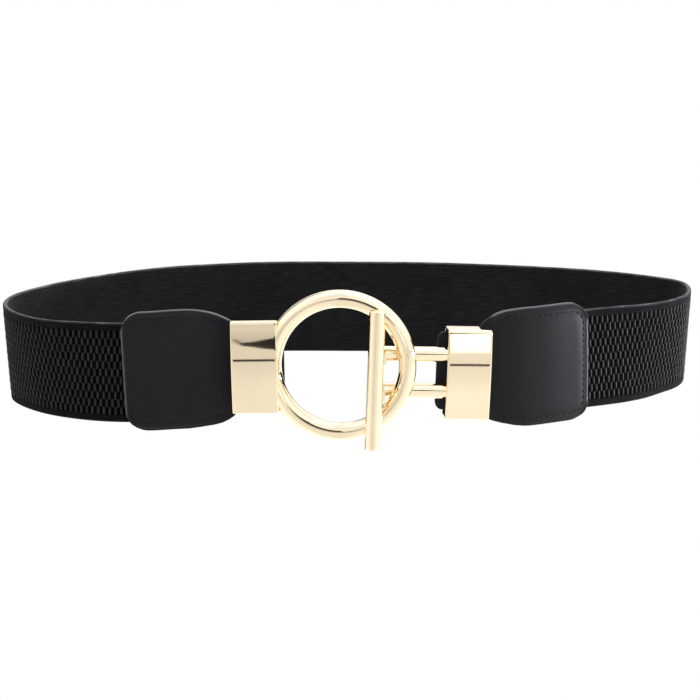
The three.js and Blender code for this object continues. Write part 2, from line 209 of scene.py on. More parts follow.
def growWith(piece, tree, values):  # sets a tree on a piece, its inputs by their sockets' identifiers
    grown = piece.modifiers.new(tree.name, "NODES")
    grown.node_group = tree
    for socket in tree.interface.items_tree:
        if socket.in_out == "INPUT" and socket.name in values:
            grown[socket.identifier] = values[socket.name]
    return grown


# The loop that the belt stands in, measured along the middle of the wall at half height

loop = {
    "width": 278.4 * mm,
    "depth": 132.6 * mm,
    "frontLift": 8 * mm,
    "pathSteps": 3000,
}

# From the ring's side round the back to the bar's side: shares of half the width, of the depth and of
# the lift, and the wall's outward lean in degrees
stationColumns = ("across", "back", "lift", "lean")
stationRows = [
    (-0.5, 0.032, 1.08, -4),
    (-0.666, 0.028, 0.93, -2.5),
    (-0.766, 0.046, 0.92, -0.5),
    (-0.862, 0.089, 0.88, 3),
    (-0.942, 0.167, 0.8, 4),
    (-1.008, 0.302, 0.67, 3),
    (-1.003, 0.452, 0.52, 3),
    (-0.933, 0.592, 0.38, 4),
    (-0.774, 0.774, 0.2, 5.5),
    (-0.598, 0.907, 0.07, 6.2),
    (-0.361, 0.985, 0, 6.7),
    (-0.012, 1, 0, 6.7),
    (0.336, 0.978, 0, 6.7),
    (0.577, 0.92, 0.06, 6),
    (0.761, 0.854, 0.12, 5.5),
    (0.907, 0.759, 0.22, 4.5),
    (0.989, 0.678, 0.3, 3),
    (1.002, 0.569, 0.4, 2.5),
    (0.97, 0.456, 0.5, 3.5),
    (0.927, 0.397, 0.55, 3.5),
    (0.846, 0.3175, 0.62, -0.5),
    (0.764, 0.266, 0.7, -5),
    (0.685, 0.225, 0.75, -6),
    (0.54, 0.143, 0.84, -5.5),
]

elastic = {
    "height": 40 * mm,
    "thickness": 2.2 * mm,
    "setback": 16 * mm,  # inside the leather the band stops this far from the sleeve
    "borderOut": 0.9 * mm,
    "borderChamfer": 0.2 * mm,
    "step": 1.5 * mm,
    "base": 0.5 * mm,  # the ground that the ribs stand on, from the middle of the wall
    "ribPitch": 2.35 * mm,
    "ribRows": 11,
    "ribWidth": 1.26 * mm,
    "ribHeight": 3.6 * mm,
    "ribRelief": 0.5 * mm,
    "ribSink": 0.12 * mm,
    "ribCover": 4 * mm,  # the ribs run this far under the leather
    "ribMargin": 3.1 * mm,
    "ribSpread": 0.05,
    "ribSeed": 7,
    "faceMargin": 1.5 * mm,
    "faceRows": 9,
    "upProbe": 0.5 * mm,
    "ribSharpAngle": 60,
}

leather = {
    "thickness": 1.1 * mm,
    "length": 43 * mm,
    "margin": 3.9 * mm,
    "rise": 0.6 * mm,
    "corner": 8.5 * mm,
    "crown": 0.35 * mm,
    "edgeRound": 0.55 * mm,
    "edgeSlope": 2.2 * mm,
    "endSlant": 0.045,  # the end's top reaches further out than its foot
    "edgeSeam": 0.16 * mm,  # the groove where the two layers meet in the cut edge
    "shoulder": 20 * mm,
    "ringPeek": 1.8 * mm,
    "togglePeek": 3.2 * mm,
    "neckCorner": 3 * mm,
    "step": 0.8 * mm,
    "stitchInset": 3.2 * mm,
    "stitchEndInset": 2.3 * mm,
    "stitchPitch": 2.5 * mm,
    "stitchLength": 2.0 * mm,
    "stitchWidth": 0.5 * mm,
    "stitchSink": 0.12 * mm,
    "stitchFrom": 0.8 * mm,  # from the sleeve to the row's end
    "stitchSlip": (0.02, 0.02, 0.09),  # how far a stitch turns off its line, in radians
    "groove": 0.12 * mm,
    "grooveWidth": 0.75 * mm,
    "puff": 0.38 * mm,  # how far the padded panel stands above its sewn border
    "puffReach": 3.4 * mm,
    "faceColumns": 45,
    "faceCrowding": 0.45,  # how much closer the columns lie near the edges
    "seamLip": (0.14 * mm, 0.03 * mm),
    "riseBlend": 2.5 * mm,
    "riseSamples": 7,
    "cornerSteps": 13,
    "edgeSteps": 6,
    "routeStep": 1 * mm,
    "routeBendSteps": 10,
    "stitchSides": 6,
    # the cut edge's painted highlight: the outline columns it spreads over, how far it reaches in from the
    # tab's end, and over what length it fades in from the neck
    "highlightColumns": 7,
    "highlightEnd": (0.2 * mm, 0.9 * mm),
    "highlightStart": 1 * mm,
    "pocketStep": 1.5 * mm,
    "ringSeed": 3,
    "toggleSeed": 11,
    "sharpAngle": 40,
    "stitchSharpAngle": 60,
}

# How far each leather end is lifted: millimetres out from the sleeve, and millimetres of lift
ringRises = [(-12, 0), (-2, -1.3), (1.6, -1.4), (4, -1.15), (6.4, -1.0), (8.8, -0.7), (11.2, -0.5),
             (13.6, -0.3), (20, -0.1), (26, 0), (30, 0), (34, 0.1), (38, 0.4), (43, 0.6)]
toggleRises = [(-12, 0), (-4.5, 0.9), (-1, 1.5), (2.4, 1.6), (4.8, 1.5), (7.2, 1.15), (9.7, 0.7),
               (12.2, 0.2), (14.7, -0.1), (17.3, -0.4), (20, -0.55), (28, -0.4), (43, -0.3)]

# The shoulder from the sleeve outwards: shares of its length, and of the step to the full height
shoulderRows = [(0, 0), (0.04, 0.25), (0.1, 0.4), (0.21, 0.56), (0.35, 0.72), (0.52, 0.84), (0.78, 0.95),
                (1, 1)]

sleeve = {
    "height": 35.5 * mm,
    "wall": 1.2 * mm,
    "dome": 0.9 * mm,
    "corner": 1.6 * mm,
    "innerCorner": 0.4 * mm,
    "edgeRound": 0.6 * mm,
    "cornerSteps": 7,
    "rearSteps": 4,
    "sideSteps": 3,
    "domeSteps": 28,
    "ringLength": 18.5 * mm,
    "toggleLength": 17.6 * mm,
    "ringSetback": 2 * mm,
    "toggleSetback": 4.5 * mm,
    "ringTaper": 1.5 * mm,
    "toggleTaper": 0 * mm,
    "ringExtra": 1.5 * mm,  # taller than the neck asks for
    "toggleExtra": 0.6 * mm,
    "ringShift": 0.4 * mm,
    "toggleShift": -0.3 * mm,
}

ring = {
    "radius": 26.4 * mm,
    "wire": 7 * mm,
    "floorGap": 1.7 * mm,
    "offset": -5.6 * mm,
    "seat": 2.3 * mm,
    "bite": 0.8 * mm,
    "sleeveDrop": 0.5 * mm,
    "turn": {"yaw": -3, "lean": -5, "roll": -1.5},
    "steps": 192,
    "sides": 40,
}

toggle = {
    "barLength": 55 * mm,
    "barDiameter": 6.4 * mm,
    "barRound": 0.6 * mm,
    "barOffset": 13.9 * mm,
    "rodDiameter": 6.1 * mm,
    "rodSpacing": 14.6 * mm,
    "rodRise": 1 * mm,
    "rodRoot": 1.3 * mm,
    "rodBend": 4.2 * mm,
    "rodSeat": 10 * mm,
    "rodBite": 0.35 * mm,
    "sleeveReach": 29.4 * mm,
    "sleeveRise": 0.9 * mm,
    "turn": {"yaw": 5.5, "lean": -5, "roll": 2.4},
    "bendSteps": 14,
    "sides": 40,
}

fitGap = 0.3 * mm
hookGap = 0.5 * mm
neckGap = 0.5 * mm
neckSideGap = 0.8 * mm
roundSteps = 6  # along the rounded edges of the metal
metalSharpAngle = 30

halfBand = elastic["height"] / 2
wireRadius = ring["wire"] / 2
barRadius = toggle["barDiameter"] / 2
rodRadius = toggle["rodDiameter"] / 2
tabHeight = elastic["height"] + 2 * leather["margin"]
neckHeight = sleeve["height"] - 2 * (sleeve["wall"] + neckSideGap)


# Where the ring, the bar and the sleeves stand

def stand():
    lean = math.cos(math.radians(ring["turn"]["lean"]))
    ringHeight = ring["floorGap"] + ring["radius"] * lean + wireRadius
    ringFrame = frameOf(ring["turn"], Vector((ring["offset"], 0, ringHeight)))
    barStand = wireRadius + barRadius + hookGap
    turned = frameOf(toggle["turn"], Vector())
    barUp = turned.to_3x3() @ Vector((0, 0, 1))
    barMiddle = toggle["barLength"] / 2 * barUp.z + barRadius * math.sqrt(1 - barUp.z ** 2)
    beforeDrop = ringFrame @ Vector((toggle["barOffset"], -barStand, 0))
    ringUp = ringFrame.to_3x3() @ Vector((0, 0, 1))
    barDrop = (barMiddle - beforeDrop.z) / ringUp.z
    toggleFrame = frameOf(toggle["turn"], ringFrame @ Vector((toggle["barOffset"], -barStand, barDrop)))
    lowRod = barDrop + toggle["rodRise"] - toggle["rodSpacing"] / 2
    crossing = math.sqrt(ring["radius"] ** 2 - lowRod ** 2) - toggle["barOffset"]
    turnBetween = math.radians(toggle["turn"]["yaw"] - ring["turn"]["yaw"])
    rodSet = barStand + wireRadius + rodRadius + hookGap - crossing * math.tan(turnBetween)
    return ringFrame, toggleFrame, rodSet


ringFrame, toggleFrame, rodSet = stand()
wireDepth = sleeve["wall"] - ring["bite"] + wireRadius
rodDepth = sleeve["wall"] - toggle["rodBite"] + rodRadius
metalBack = max(wireDepth + wireRadius, rodDepth + rodRadius)
neckDepth = metalBack + neckGap + leather["thickness"]
sleeveDepth = neckDepth + leather["thickness"] + fitGap + sleeve["wall"]
ringReach = ring["radius"] - ring["seat"]

ringSleeve = {
    "frame": ringFrame,
    "inner": -ringReach,
    "outer": -ringReach - sleeve["ringLength"],
    "face": -wireDepth,
    "rise": -ring["sleeveDrop"],
    "setback": sleeve["ringSetback"],
    "taper": sleeve["ringTaper"],
    "height": sleeve["height"] + sleeve["ringExtra"],
    "shift": sleeve["ringShift"],
}
toggleSleeve = {
    "frame": toggleFrame,
    "inner": toggle["sleeveReach"],
    "outer": toggle["sleeveReach"] + sleeve["toggleLength"],
    "face": rodSet - rodDepth,
    "rise": toggle["sleeveRise"],
    "setback": sleeve["toggleSetback"],
    "taper": sleeve["toggleTaper"],
    "height": sleeve["height"] + sleeve["toggleExtra"],
    "shift": sleeve["toggleShift"],
}


# The belt's path: a smooth plan with a lift, a lean and a slant along it

def sleeveStation(place, x):
    turned = place["frame"].to_3x3()
    middle = place["frame"] @ Vector((x, place["face"] + neckDepth, place["rise"]))
    along = turned @ Vector((-1, 0, 0))
    along.z = 0
    along.normalize()
    up = turned @ Vector((0, 0, 1))
    out = Vector((-along.y, along.x, 0))
    return {
        "x": middle.x,
        "y": middle.y,
        "lift": middle.z - halfBand * up.z,
        "lean": math.degrees(math.asin(up.dot(out))),
        "slant": math.degrees(math.asin(up.dot(along))),
        "heading": {"x": along.x, "y": along.y},
    }


def bandStation(row):
    station = dict(zip(stationColumns, row))
    return {
        "x": station["across"] * loop["width"] / 2,
        "y": station["back"] * loop["depth"],
        "lift": station["lift"] * loop["frontLift"],
        "lean": station["lean"],
        "slant": 0,
    }


class BeltPath:
    def __init__(self, stations):
        self.stations = stations
        steps = [math.hypot(b["x"] - a["x"], b["y"] - a["y"]) for a, b in zip(stations, stations[1:])]
        self.knots = np.concatenate([[0], np.cumsum(steps)])
        names = ("x", "y", "lift", "lean", "slant")
        self.values = {name: np.array([s[name] for s in stations], float) for name in names}
        self.slopes = {name: self.slopesOf(name) for name in names}
        self.travelKnots = np.linspace(0, self.knots[-1], loop["pathSteps"])
        gaps = np.linalg.norm(np.diff(self.middles(self.travelKnots), axis=0), axis=1)
        self.travel = np.concatenate([[0], np.cumsum(gaps)])
        self.length = self.travel[-1]

    def slopesOf(self, name):  # smooth in plan, and never overshooting in height and lean
        spans = np.diff(self.knots)
        rates = np.diff(self.values[name]) / spans
        before, after = rates[:-1], rates[1:]
        if name in "xy":
            inner = (before * spans[1:] + after * spans[:-1]) / (spans[1:] + spans[:-1])
        else:
            product = np.where(before * after > 0, before * after, 0)
            inner = 2 * product / np.where(product > 0, before + after, 1)
        slopes = np.concatenate([[0], inner, [0]])
        for i, station in enumerate(self.stations):
            if name in "xy" and "heading" in station:
                slopes[i] = station["heading"][name]
        return slopes

    def value(self, name, knot):
        i = np.clip(np.searchsorted(self.knots, knot, "right") - 1, 0, len(self.knots) - 2)
        span = self.knots[i + 1] - self.knots[i]
        k = (knot - self.knots[i]) / span
        rest = 1 - k
        ends = self.values[name]
        bends = self.slopes[name]
        straight = (1 + 2 * k) * rest * rest * ends[i] + k * k * (3 - 2 * k) * ends[i + 1]
        return straight + span * k * rest * (rest * bends[i] - k * bends[i + 1])

    def middles(self, knot):
        upright = np.cos(np.radians(self.value("lean", knot))) * np.cos(np.radians(self.value("slant", knot)))
        z = self.value("lift", knot) + halfBand * upright
        return np.stack([self.value("x", knot), self.value("y", knot), z], axis=-1)

    def frames(self, distance):
        knot = np.interp(distance, self.travel, self.travelKnots)
        probe = 1e-5
        ahead = self.middles(np.clip(knot + probe, 0, self.knots[-1]))
        behind = self.middles(np.clip(knot - probe, 0, self.knots[-1]))
        along = (ahead - behind) * [1, 1, 0]
        along /= np.linalg.norm(along, axis=-1, keepdims=True)
        out = np.stack([-along[..., 1], along[..., 0], np.zeros_like(knot)], axis=-1)
        lean = np.radians(self.value("lean", knot))[..., None]
        slant = np.radians(self.value("slant", knot))[..., None]
        up = np.array([0, 0, 1]) * np.cos(lean) * np.cos(slant) + out * np.sin(lean) + along * np.sin(slant)
        return self.middles(knot), out, up

    def place(self, distance, out, up):  # points out from and up the wall, at distances along the belt
        distance, out, up = np.broadcast_arrays(distance, out, up)
        middle, outward, upward = self.frames(distance.astype(float))
        return middle + outward * out[..., None] + upward * up[..., None] + origin


def stretch(low, high, step):
    return np.linspace(low, high, max(1, math.ceil((high - low) / step)) + 1)


origin = np.zeros(3)
beltPath = BeltPath([
    sleeveStation(ringSleeve, ringSleeve["inner"] + leather["ringPeek"]),
    sleeveStation(ringSleeve, ringSleeve["outer"]),
    *[bandStation(row) for row in stationRows],
    sleeveStation(toggleSleeve, toggleSleeve["outer"]),
    sleeveStation(toggleSleeve, toggleSleeve["inner"] - leather["togglePeek"]),
])
ringNeck = leather["ringPeek"] + sleeve["ringLength"]
toggleNeck = leather["togglePeek"] + sleeve["toggleLength"]
bandFrom = ringNeck + elastic["setback"]
bandTo = beltPath.length - toggleNeck - elastic["setback"]


def findOrigin():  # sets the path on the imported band, whose frame starts under the middle of the belt
    reach = beltPath.place(stretch(bandFrom, bandTo, elastic["step"])[:, None], elastic["borderOut"],
                           np.array([1, -1])[None] * (halfBand - elastic["borderChamfer"])).reshape(-1, 3)
    low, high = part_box("elastic_band")
    x = (low.x + high.x - reach[:, 0].min() - reach[:, 0].max()) / 2
    return np.array([x, high.y - reach[:, 1].max(), 0])


origin = findOrigin()
print("belt path", round(beltPath.length, 4), "m long, moved by", origin.round(5))


# Shared shader groups

def makeVariationGroup():  # slow changes of tone and finer ones of roughness over a surface
    fineness, cloudShare, maskRange = 9.0, 0.7, (0.35, 0.65)
    cloudDetail, speckDetail = 5.0, 3.0
    group, given, result = newGroup("slowVariation", "ShaderNodeTree", [
        ("Vector", "Vector"),
        ("Size", "Float", 0.02),
        ("Dark", "Float", 0.85),
        ("Light", "Float", 1.15),
    ], [("Tone", "Float"), ("Mask", "Float")])
    scale = mathNode(group, "DIVIDE", 1.0, given["Size"])
    mask = ranged(group, noiseOn(group, given["Vector"], scale, cloudDetail), maskRange)
    speck = noiseOn(group, given["Vector"], product(group, scale, fineness), speckDetail)
    blend = mathNode(group, "ADD", product(group, mask, cloudShare), product(group, speck, 1 - cloudShare))
    tone = ranged(group, blend, (0.0, 1.0), (given["Dark"], given["Light"]))
    feed(group, result, {"Tone": tone, "Mask": mask})
    return group


def makeThreadGroup():  # fine threads lying one way, as on woven tape: a height and a shadow between them
    group, given, result = newGroup("fineThreads", "ShaderNodeTree", [
        ("Vector", "Vector"),
        ("Across", "Float", 0.0005),
        ("Along", "Float", 0.002),
        ("Wobble", "Float", 0.3),
    ], [("Height", "Float"), ("Shadow", "Float")])
    wobbleScale, wobbleDetail = 900.0, 2.0
    rowSharpness, columnSharpness = 0.6, 0.3
    shadowFrom, shadowTo = (0.2, 0.9), (0.35, 1.0)
    part = partsOf(group, given["Vector"])
    noise = noiseOn(group, given["Vector"], wobbleScale, wobbleDetail)
    wobble = product(group, mathNode(group, "SUBTRACT", noise, 0.5), given["Wobble"])
    row = mathNode(group, "ADD", mathNode(group, "DIVIDE", part[1], given["Across"]), wobble)
    odd = product(group, mathNode(group, "MODULO", mathNode(group, "FLOOR", row), 2.0), 0.5)
    column = mathNode(group, "ADD", mathNode(group, "DIVIDE", part[0], given["Along"]), odd)

    def ridges(value, sharpness):
        wave = mathNode(group, "ABSOLUTE", mathNode(group, "SINE", product(group, value, math.pi)))
        return mathNode(group, "POWER", wave, sharpness)

    height = product(group, ridges(row, rowSharpness), ridges(column, columnSharpness))
    feed(group, result, {"Height": height, "Shadow": ranged(group, height, shadowFrom, shadowTo)})
    return group


slowVariation = makeVariationGroup()
fineThreads = makeThreadGroup()


# Materials

def newMaterial(name):
    material = bpy.data.materials.new(name)
    material.use_nodes = True
    return material, material.node_tree, material.node_tree.nodes["Principled BSDF"]


def groupNode(tree, group, inputs):
    return addNode(tree, "ShaderNodeGroup", inputs, node_tree=group).outputs


def onObject(tree):
    return addNode(tree, "ShaderNodeTexCoord").outputs["Object"]


def onMap(tree):  # metres along the belt and up the wall
    return addNode(tree, "ShaderNodeUVMap", uv_map="UVMap").outputs[0]


def attributeOf(tree, name):
    return addNode(tree, "ShaderNodeAttribute", attribute_name=name, attribute_type="GEOMETRY").outputs["Fac"]


def drawnOut(tree, vector, scale):  # a pattern stretched along one way
    return addNode(tree, "ShaderNodeMapping", {"Vector": vector, "Scale": scale}).outputs[0]


def tinted(tree, colour, *factors):  # a colour darkened or lightened by each factor in turn
    shade = product(tree, *factors)
    return addNode(tree, "ShaderNodeVectorMath", {0: colour, "Scale": shade}, operation="SCALE").outputs[0]


def bumped(tree, height, distance):
    return addNode(tree, "ShaderNodeBump", {"Height": height, "Distance": distance}).outputs[0]


def makeGroundCloth():  # the plain woven ground: dull inside and on the borders, painted darkest between the ribs as painted shade, and painted lighter along both edges as a painted highlight
    look = {
        "colour": (0.0131, 0.0134, 0.0148),
        "tone": {"Size": 18 * mm, "Dark": 0.75, "Light": 1.35},
        "roughness": 0.85,
        "specular": 0.14,
        "sheen": 0.05,
        "sheenRoughness": 0.4,
        "threads": {"Across": 0.42 * mm, "Along": 2.1 * mm, "Wobble": 0.35},
        "threadDepth": 0.12 * mm,
        "streakScale": (160.0, 2600.0, 1.0),
        "streakDetail": 3.0,
        "streakRange": (0.42, 0.7),
        "streakTone": (0.7, 2.0),
        # painted highlight along both edges of the band: its width, and how many times lighter the colour is
        # painted there
        "rimHighlight": 0.7 * mm,
        "rimHighlightGain": 10.5,
        "border": (3.2 * mm, 3.0 * mm),  # where the ribs' bed turns into the border
        "borderDark": 0.6,
        # painted shade for the ground between the ribs, where the ribs shade it
        "slotShade": 0.2,
    }
    material, tree, shader = newMaterial("black woven ground")
    uv = onMap(tree)
    threads = groupNode(tree, fineThreads, {"Vector": uv, **look["threads"]})
    slow = groupNode(tree, slowVariation, {"Vector": onObject(tree), **look["tone"]})
    streak = noiseOn(tree, drawnOut(tree, uv, look["streakScale"]), 1.0, look["streakDetail"])
    up = mathNode(tree, "ABSOLUTE", partsOf(tree, uv)[1])
    # painted highlight along the band's edges
    rimHighlight = ranged(tree, up, (halfBand - look["rimHighlight"], halfBand), (1.0, look["rimHighlightGain"]))
    bed = [halfBand - inset for inset in look["border"]]
    # painted shade over the ribs' bed on the outer face, with the border darkened less
    border = ranged(tree, up, bed, (look["slotShade"], look["borderDark"]))
    outer = {"Factor": attributeOf(tree, "outerSide"), 2: 1.0, 3: border}
    side = addNode(tree, "ShaderNodeMix", outer).outputs[0]
    streakTone = ranged(tree, streak, look["streakRange"], look["streakTone"])
    feed(tree, shader, {
        "Base Color": tinted(tree, look["colour"], threads["Shadow"], slow["Tone"], streakTone, side, rimHighlight),
        "Roughness": look["roughness"],
        "Specular IOR Level": product(tree, side, look["specular"]),
        "Sheen Weight": product(tree, side, look["sheen"]),
        "Sheen Roughness": look["sheenRoughness"],
        "Normal": bumped(tree, threads["Height"], look["threadDepth"]),
    })
    return material


def makeRibThread():  # the raised charcoal ribs, each with its own tone, painted darker down their flanks to their feet as painted shade
    look = {
        "colour": (0.0215, 0.0218, 0.0247),
        "tone": {"Size": 22 * mm, "Dark": 0.8, "Light": 1.2},
        "ribTone": (0.7, 1.35),
        # painted shade: full colour at each rib's crest, darker towards its foot
        "crestRange": (0.4, 1.0),
        "crestShade": (0.1, 1.0),
        "roughness": 0.42,
        "specular": 0.17,
        "strands": {"Scale": 380.0, "Distortion": 1.5},
        "strandDepth": 0.05 * mm,
    }
    material, tree, shader = newMaterial("charcoal rib thread")
    body = onObject(tree)
    slow = groupNode(tree, slowVariation, {"Vector": body, **look["tone"]})
    shade = ranged(tree, attributeOf(tree, "ribTone"), (0.0, 1.0), look["ribTone"])
    # painted shade down each rib's flanks
    rise = ranged(tree, attributeOf(tree, "crest"), look["crestRange"], look["crestShade"])
    strands = addNode(tree, "ShaderNodeTexWave", {"Vector": body, **look["strands"]}, bands_direction="Z")
    feed(tree, shader, {
        "Base Color": tinted(tree, look["colour"], shade, rise, slow["Tone"]),
        "Roughness": look["roughness"],
        "Specular IOR Level": look["specular"],
        "Normal": bumped(tree, strands.outputs["Fac"], look["strandDepth"]),
    })
    return material


def makeLeather():  # smooth black leather with a fine grain, painted lighter along its cut edge as a painted highlight
    look = {
        "colour": (0.0152, 0.0149, 0.0174),
        "tone": {"Size": 30 * mm, "Dark": 0.85, "Light": 1.15},
        # painted highlight colour for the cut edge
        "edge": (0.17, 0.17, 0.174),
        "specular": 0.13,
        "roughness": (0.46, 0.56),
        "grainScale": 950.0,
        "grainRange": (0.0, 0.22),
        "grain": 0.45,
        "creases": {"scale": 240.0, "detail": 5.0, "Roughness": 0.6, "Distortion": 0.4},
        "wrinkleScale": (90.0, 520.0, 1.0),
        "wrinkleNoise": {"scale": 1.0, "detail": 2.0, "Distortion": 0.8},
        "wrinkles": 5.0,
        "wrinkleReach": 14 * mm,  # they fade out this far from the neck
        "depth": 0.045 * mm,
    }
    material, tree, shader = newMaterial("black leather")
    body, uv = onObject(tree), onMap(tree)
    slow = groupNode(tree, slowVariation, {"Vector": body, **look["tone"]})
    cells = addNode(tree, "ShaderNodeTexVoronoi", {"Vector": body, "Scale": look["grainScale"]},
                    feature="DISTANCE_TO_EDGE")
    grain = product(tree, ranged(tree, cells.outputs["Distance"], look["grainRange"]), look["grain"])
    creases = noiseOn(tree, body, **look["creases"])
    wrinkle = noiseOn(tree, drawnOut(tree, uv, look["wrinkleScale"]), **look["wrinkleNoise"])
    neckward = ranged(tree, partsOf(tree, uv)[0], (ringNeck + look["wrinkleReach"], ringNeck))
    height = mathNode(tree, "ADD", mathNode(tree, "ADD", grain, creases),
                      product(tree, wrinkle, neckward, look["wrinkles"]))
    plain = tinted(tree, look["colour"], slow["Tone"])
    # painted highlight along the cut edge
    edge = {"Factor": attributeOf(tree, "edgeHighlight"), "A": plain, "B": look["edge"]}
    feed(tree, shader, {
        "Base Color": addNode(tree, "ShaderNodeMix", edge, data_type="VECTOR").outputs[1],
        "Roughness": ranged(tree, slow["Mask"], (0.0, 1.0), look["roughness"]),
        "Specular IOR Level": look["specular"],
        "Normal": bumped(tree, height, look["depth"]),
    })
    return material


def makeThread():
    look = {
        "colour": (0.006, 0.006, 0.0065),
        "twist": {"Scale": 700.0, "Distortion": 0.5},
        "twistTone": (0.5, 1.1),
        "roughness": 0.6,
        "specular": 0.3,
        "twistDepth": 0.05 * mm,
    }
    material, tree, shader = newMaterial("black thread")
    twist = addNode(tree, "ShaderNodeTexWave", {"Vector": onObject(tree), **look["twist"]},
                    bands_direction="DIAGONAL").outputs["Fac"]
    feed(tree, shader, {
        "Base Color": tinted(tree, look["colour"], ranged(tree, twist, (0.0, 1.0), look["twistTone"])),
        "Roughness": look["roughness"],
        "Specular IOR Level": look["specular"],
        "Normal": bumped(tree, twist, look["twistDepth"]),
    })
    return material


def makeGold():  # pale gold plating over a polished casting
    look = {
        "colour": (0.93, 0.79, 0.56),
        "tone": {"Size": 14 * mm, "Dark": 0.97, "Light": 1.03},
        "roughness": (0.02, 0.036),
        "swell": {"scale": 90.0, "detail": 1.0},
        "swellDepth": 0.004 * mm,
    }
    material, tree, shader = newMaterial("pale gold plating")
    body = onObject(tree)
    slow = groupNode(tree, slowVariation, {"Vector": body, **look["tone"]})
    feed(tree, shader, {
        "Base Color": tinted(tree, look["colour"], slow["Tone"]),
        "Metallic": 1.0,
        "Roughness": ranged(tree, slow["Mask"], (0.0, 1.0), look["roughness"]),
        "Normal": bumped(tree, noiseOn(tree, body, **look["swell"]), look["swellDepth"]),
    })
    return material


materials = {
    "ground": makeGroundCloth(),
    "rib": makeRibThread(),
    "leather": makeLeather(),
    "thread": makeThread(),
    "gold": makeGold(),
}
print("materials made")


# The elastic band: a woven ground with plain borders, and rows of raised ribs on its outer face

# The borders' outer face, from the edge inwards: millimetres in from the edge, and out from the middle
upperBorder = [(0, 0.35), (0.1, 0.62), (0.32, 0.82), (0.7, 0.9), (1.6, 0.93), (2.5, 0.9), (2.85, 0.8),
               (3.0, 0.5)]
lowerBorder = [(0, 0.35), (0.1, 0.62), (0.32, 0.82), (0.8, 0.92), (1.25, 0.9), (1.45, 0.76), (1.65, 0.9),
               (2.2, 0.93), (2.7, 0.86), (3.0, 0.5)]
innerBorder = [(0, 0.35), (0.1, 0.62), (0.32, 0.82), (0.7, 0.9), (2.6, 0.9), (3.1, 1.1)]


def bandOutline():
    outer = [(out * mm, inset * mm - halfBand) for inset, out in lowerBorder]
    outer += [(out * mm, halfBand - inset * mm) for inset, out in reversed(upperBorder)]
    inner = [(-out * mm, halfBand - inset * mm) for inset, out in innerBorder]
    inner += [(-out * mm, inset * mm - halfBand) for inset, out in reversed(innerBorder)]
    return np.array(outer + inner)


def makeRibShape():  # one rib, upright along Y, with its crest towards +Z
    length = [-1, -0.86, -0.45, 0.45, 0.86, 1]
    width = [0.5, 0.9, 1, 1, 0.9, 0.5]
    relief = [0.1, 0.75, 1, 1, 0.75, 0.1]
    arch = [(-1, 0), (-0.72, 0.66), (0, 1), (0.72, 0.66), (1, 0)]
    rings, crest = [], []
    for y, wide, high in zip(length, width, relief):
        for x, z in arch:
            rise = z * high * elastic["ribRelief"]
            foot = elastic["ribSink"] if z == 0 else 0
            rings.append((x * wide * elastic["ribWidth"] / 2, y * elastic["ribHeight"] / 2, rise - foot))
            crest.append(z * high)
    rib = outwards(meshObject("ribShape", rings, loftFaces(len(length), len(arch))))
    storeOn(rib, "crest", "FLOAT", crest)
    return rib


def finish(tree, instances, given, result):  # the end of a tree: real faces with their material
    real = addNode(tree, "GeometryNodeRealizeInstances", {"Geometry": instances})
    painted = addNode(tree, "GeometryNodeSetMaterial",
                      {"Geometry": real.outputs[0], "Material": given["Material"]})
    feed(tree, result, {"Geometry": painted.outputs[0]})
    return tree


def namedVector(tree, name):
    node = addNode(tree, "GeometryNodeInputNamedAttribute", {"Name": name}, data_type="FLOAT_VECTOR")
    return node.outputs[0]


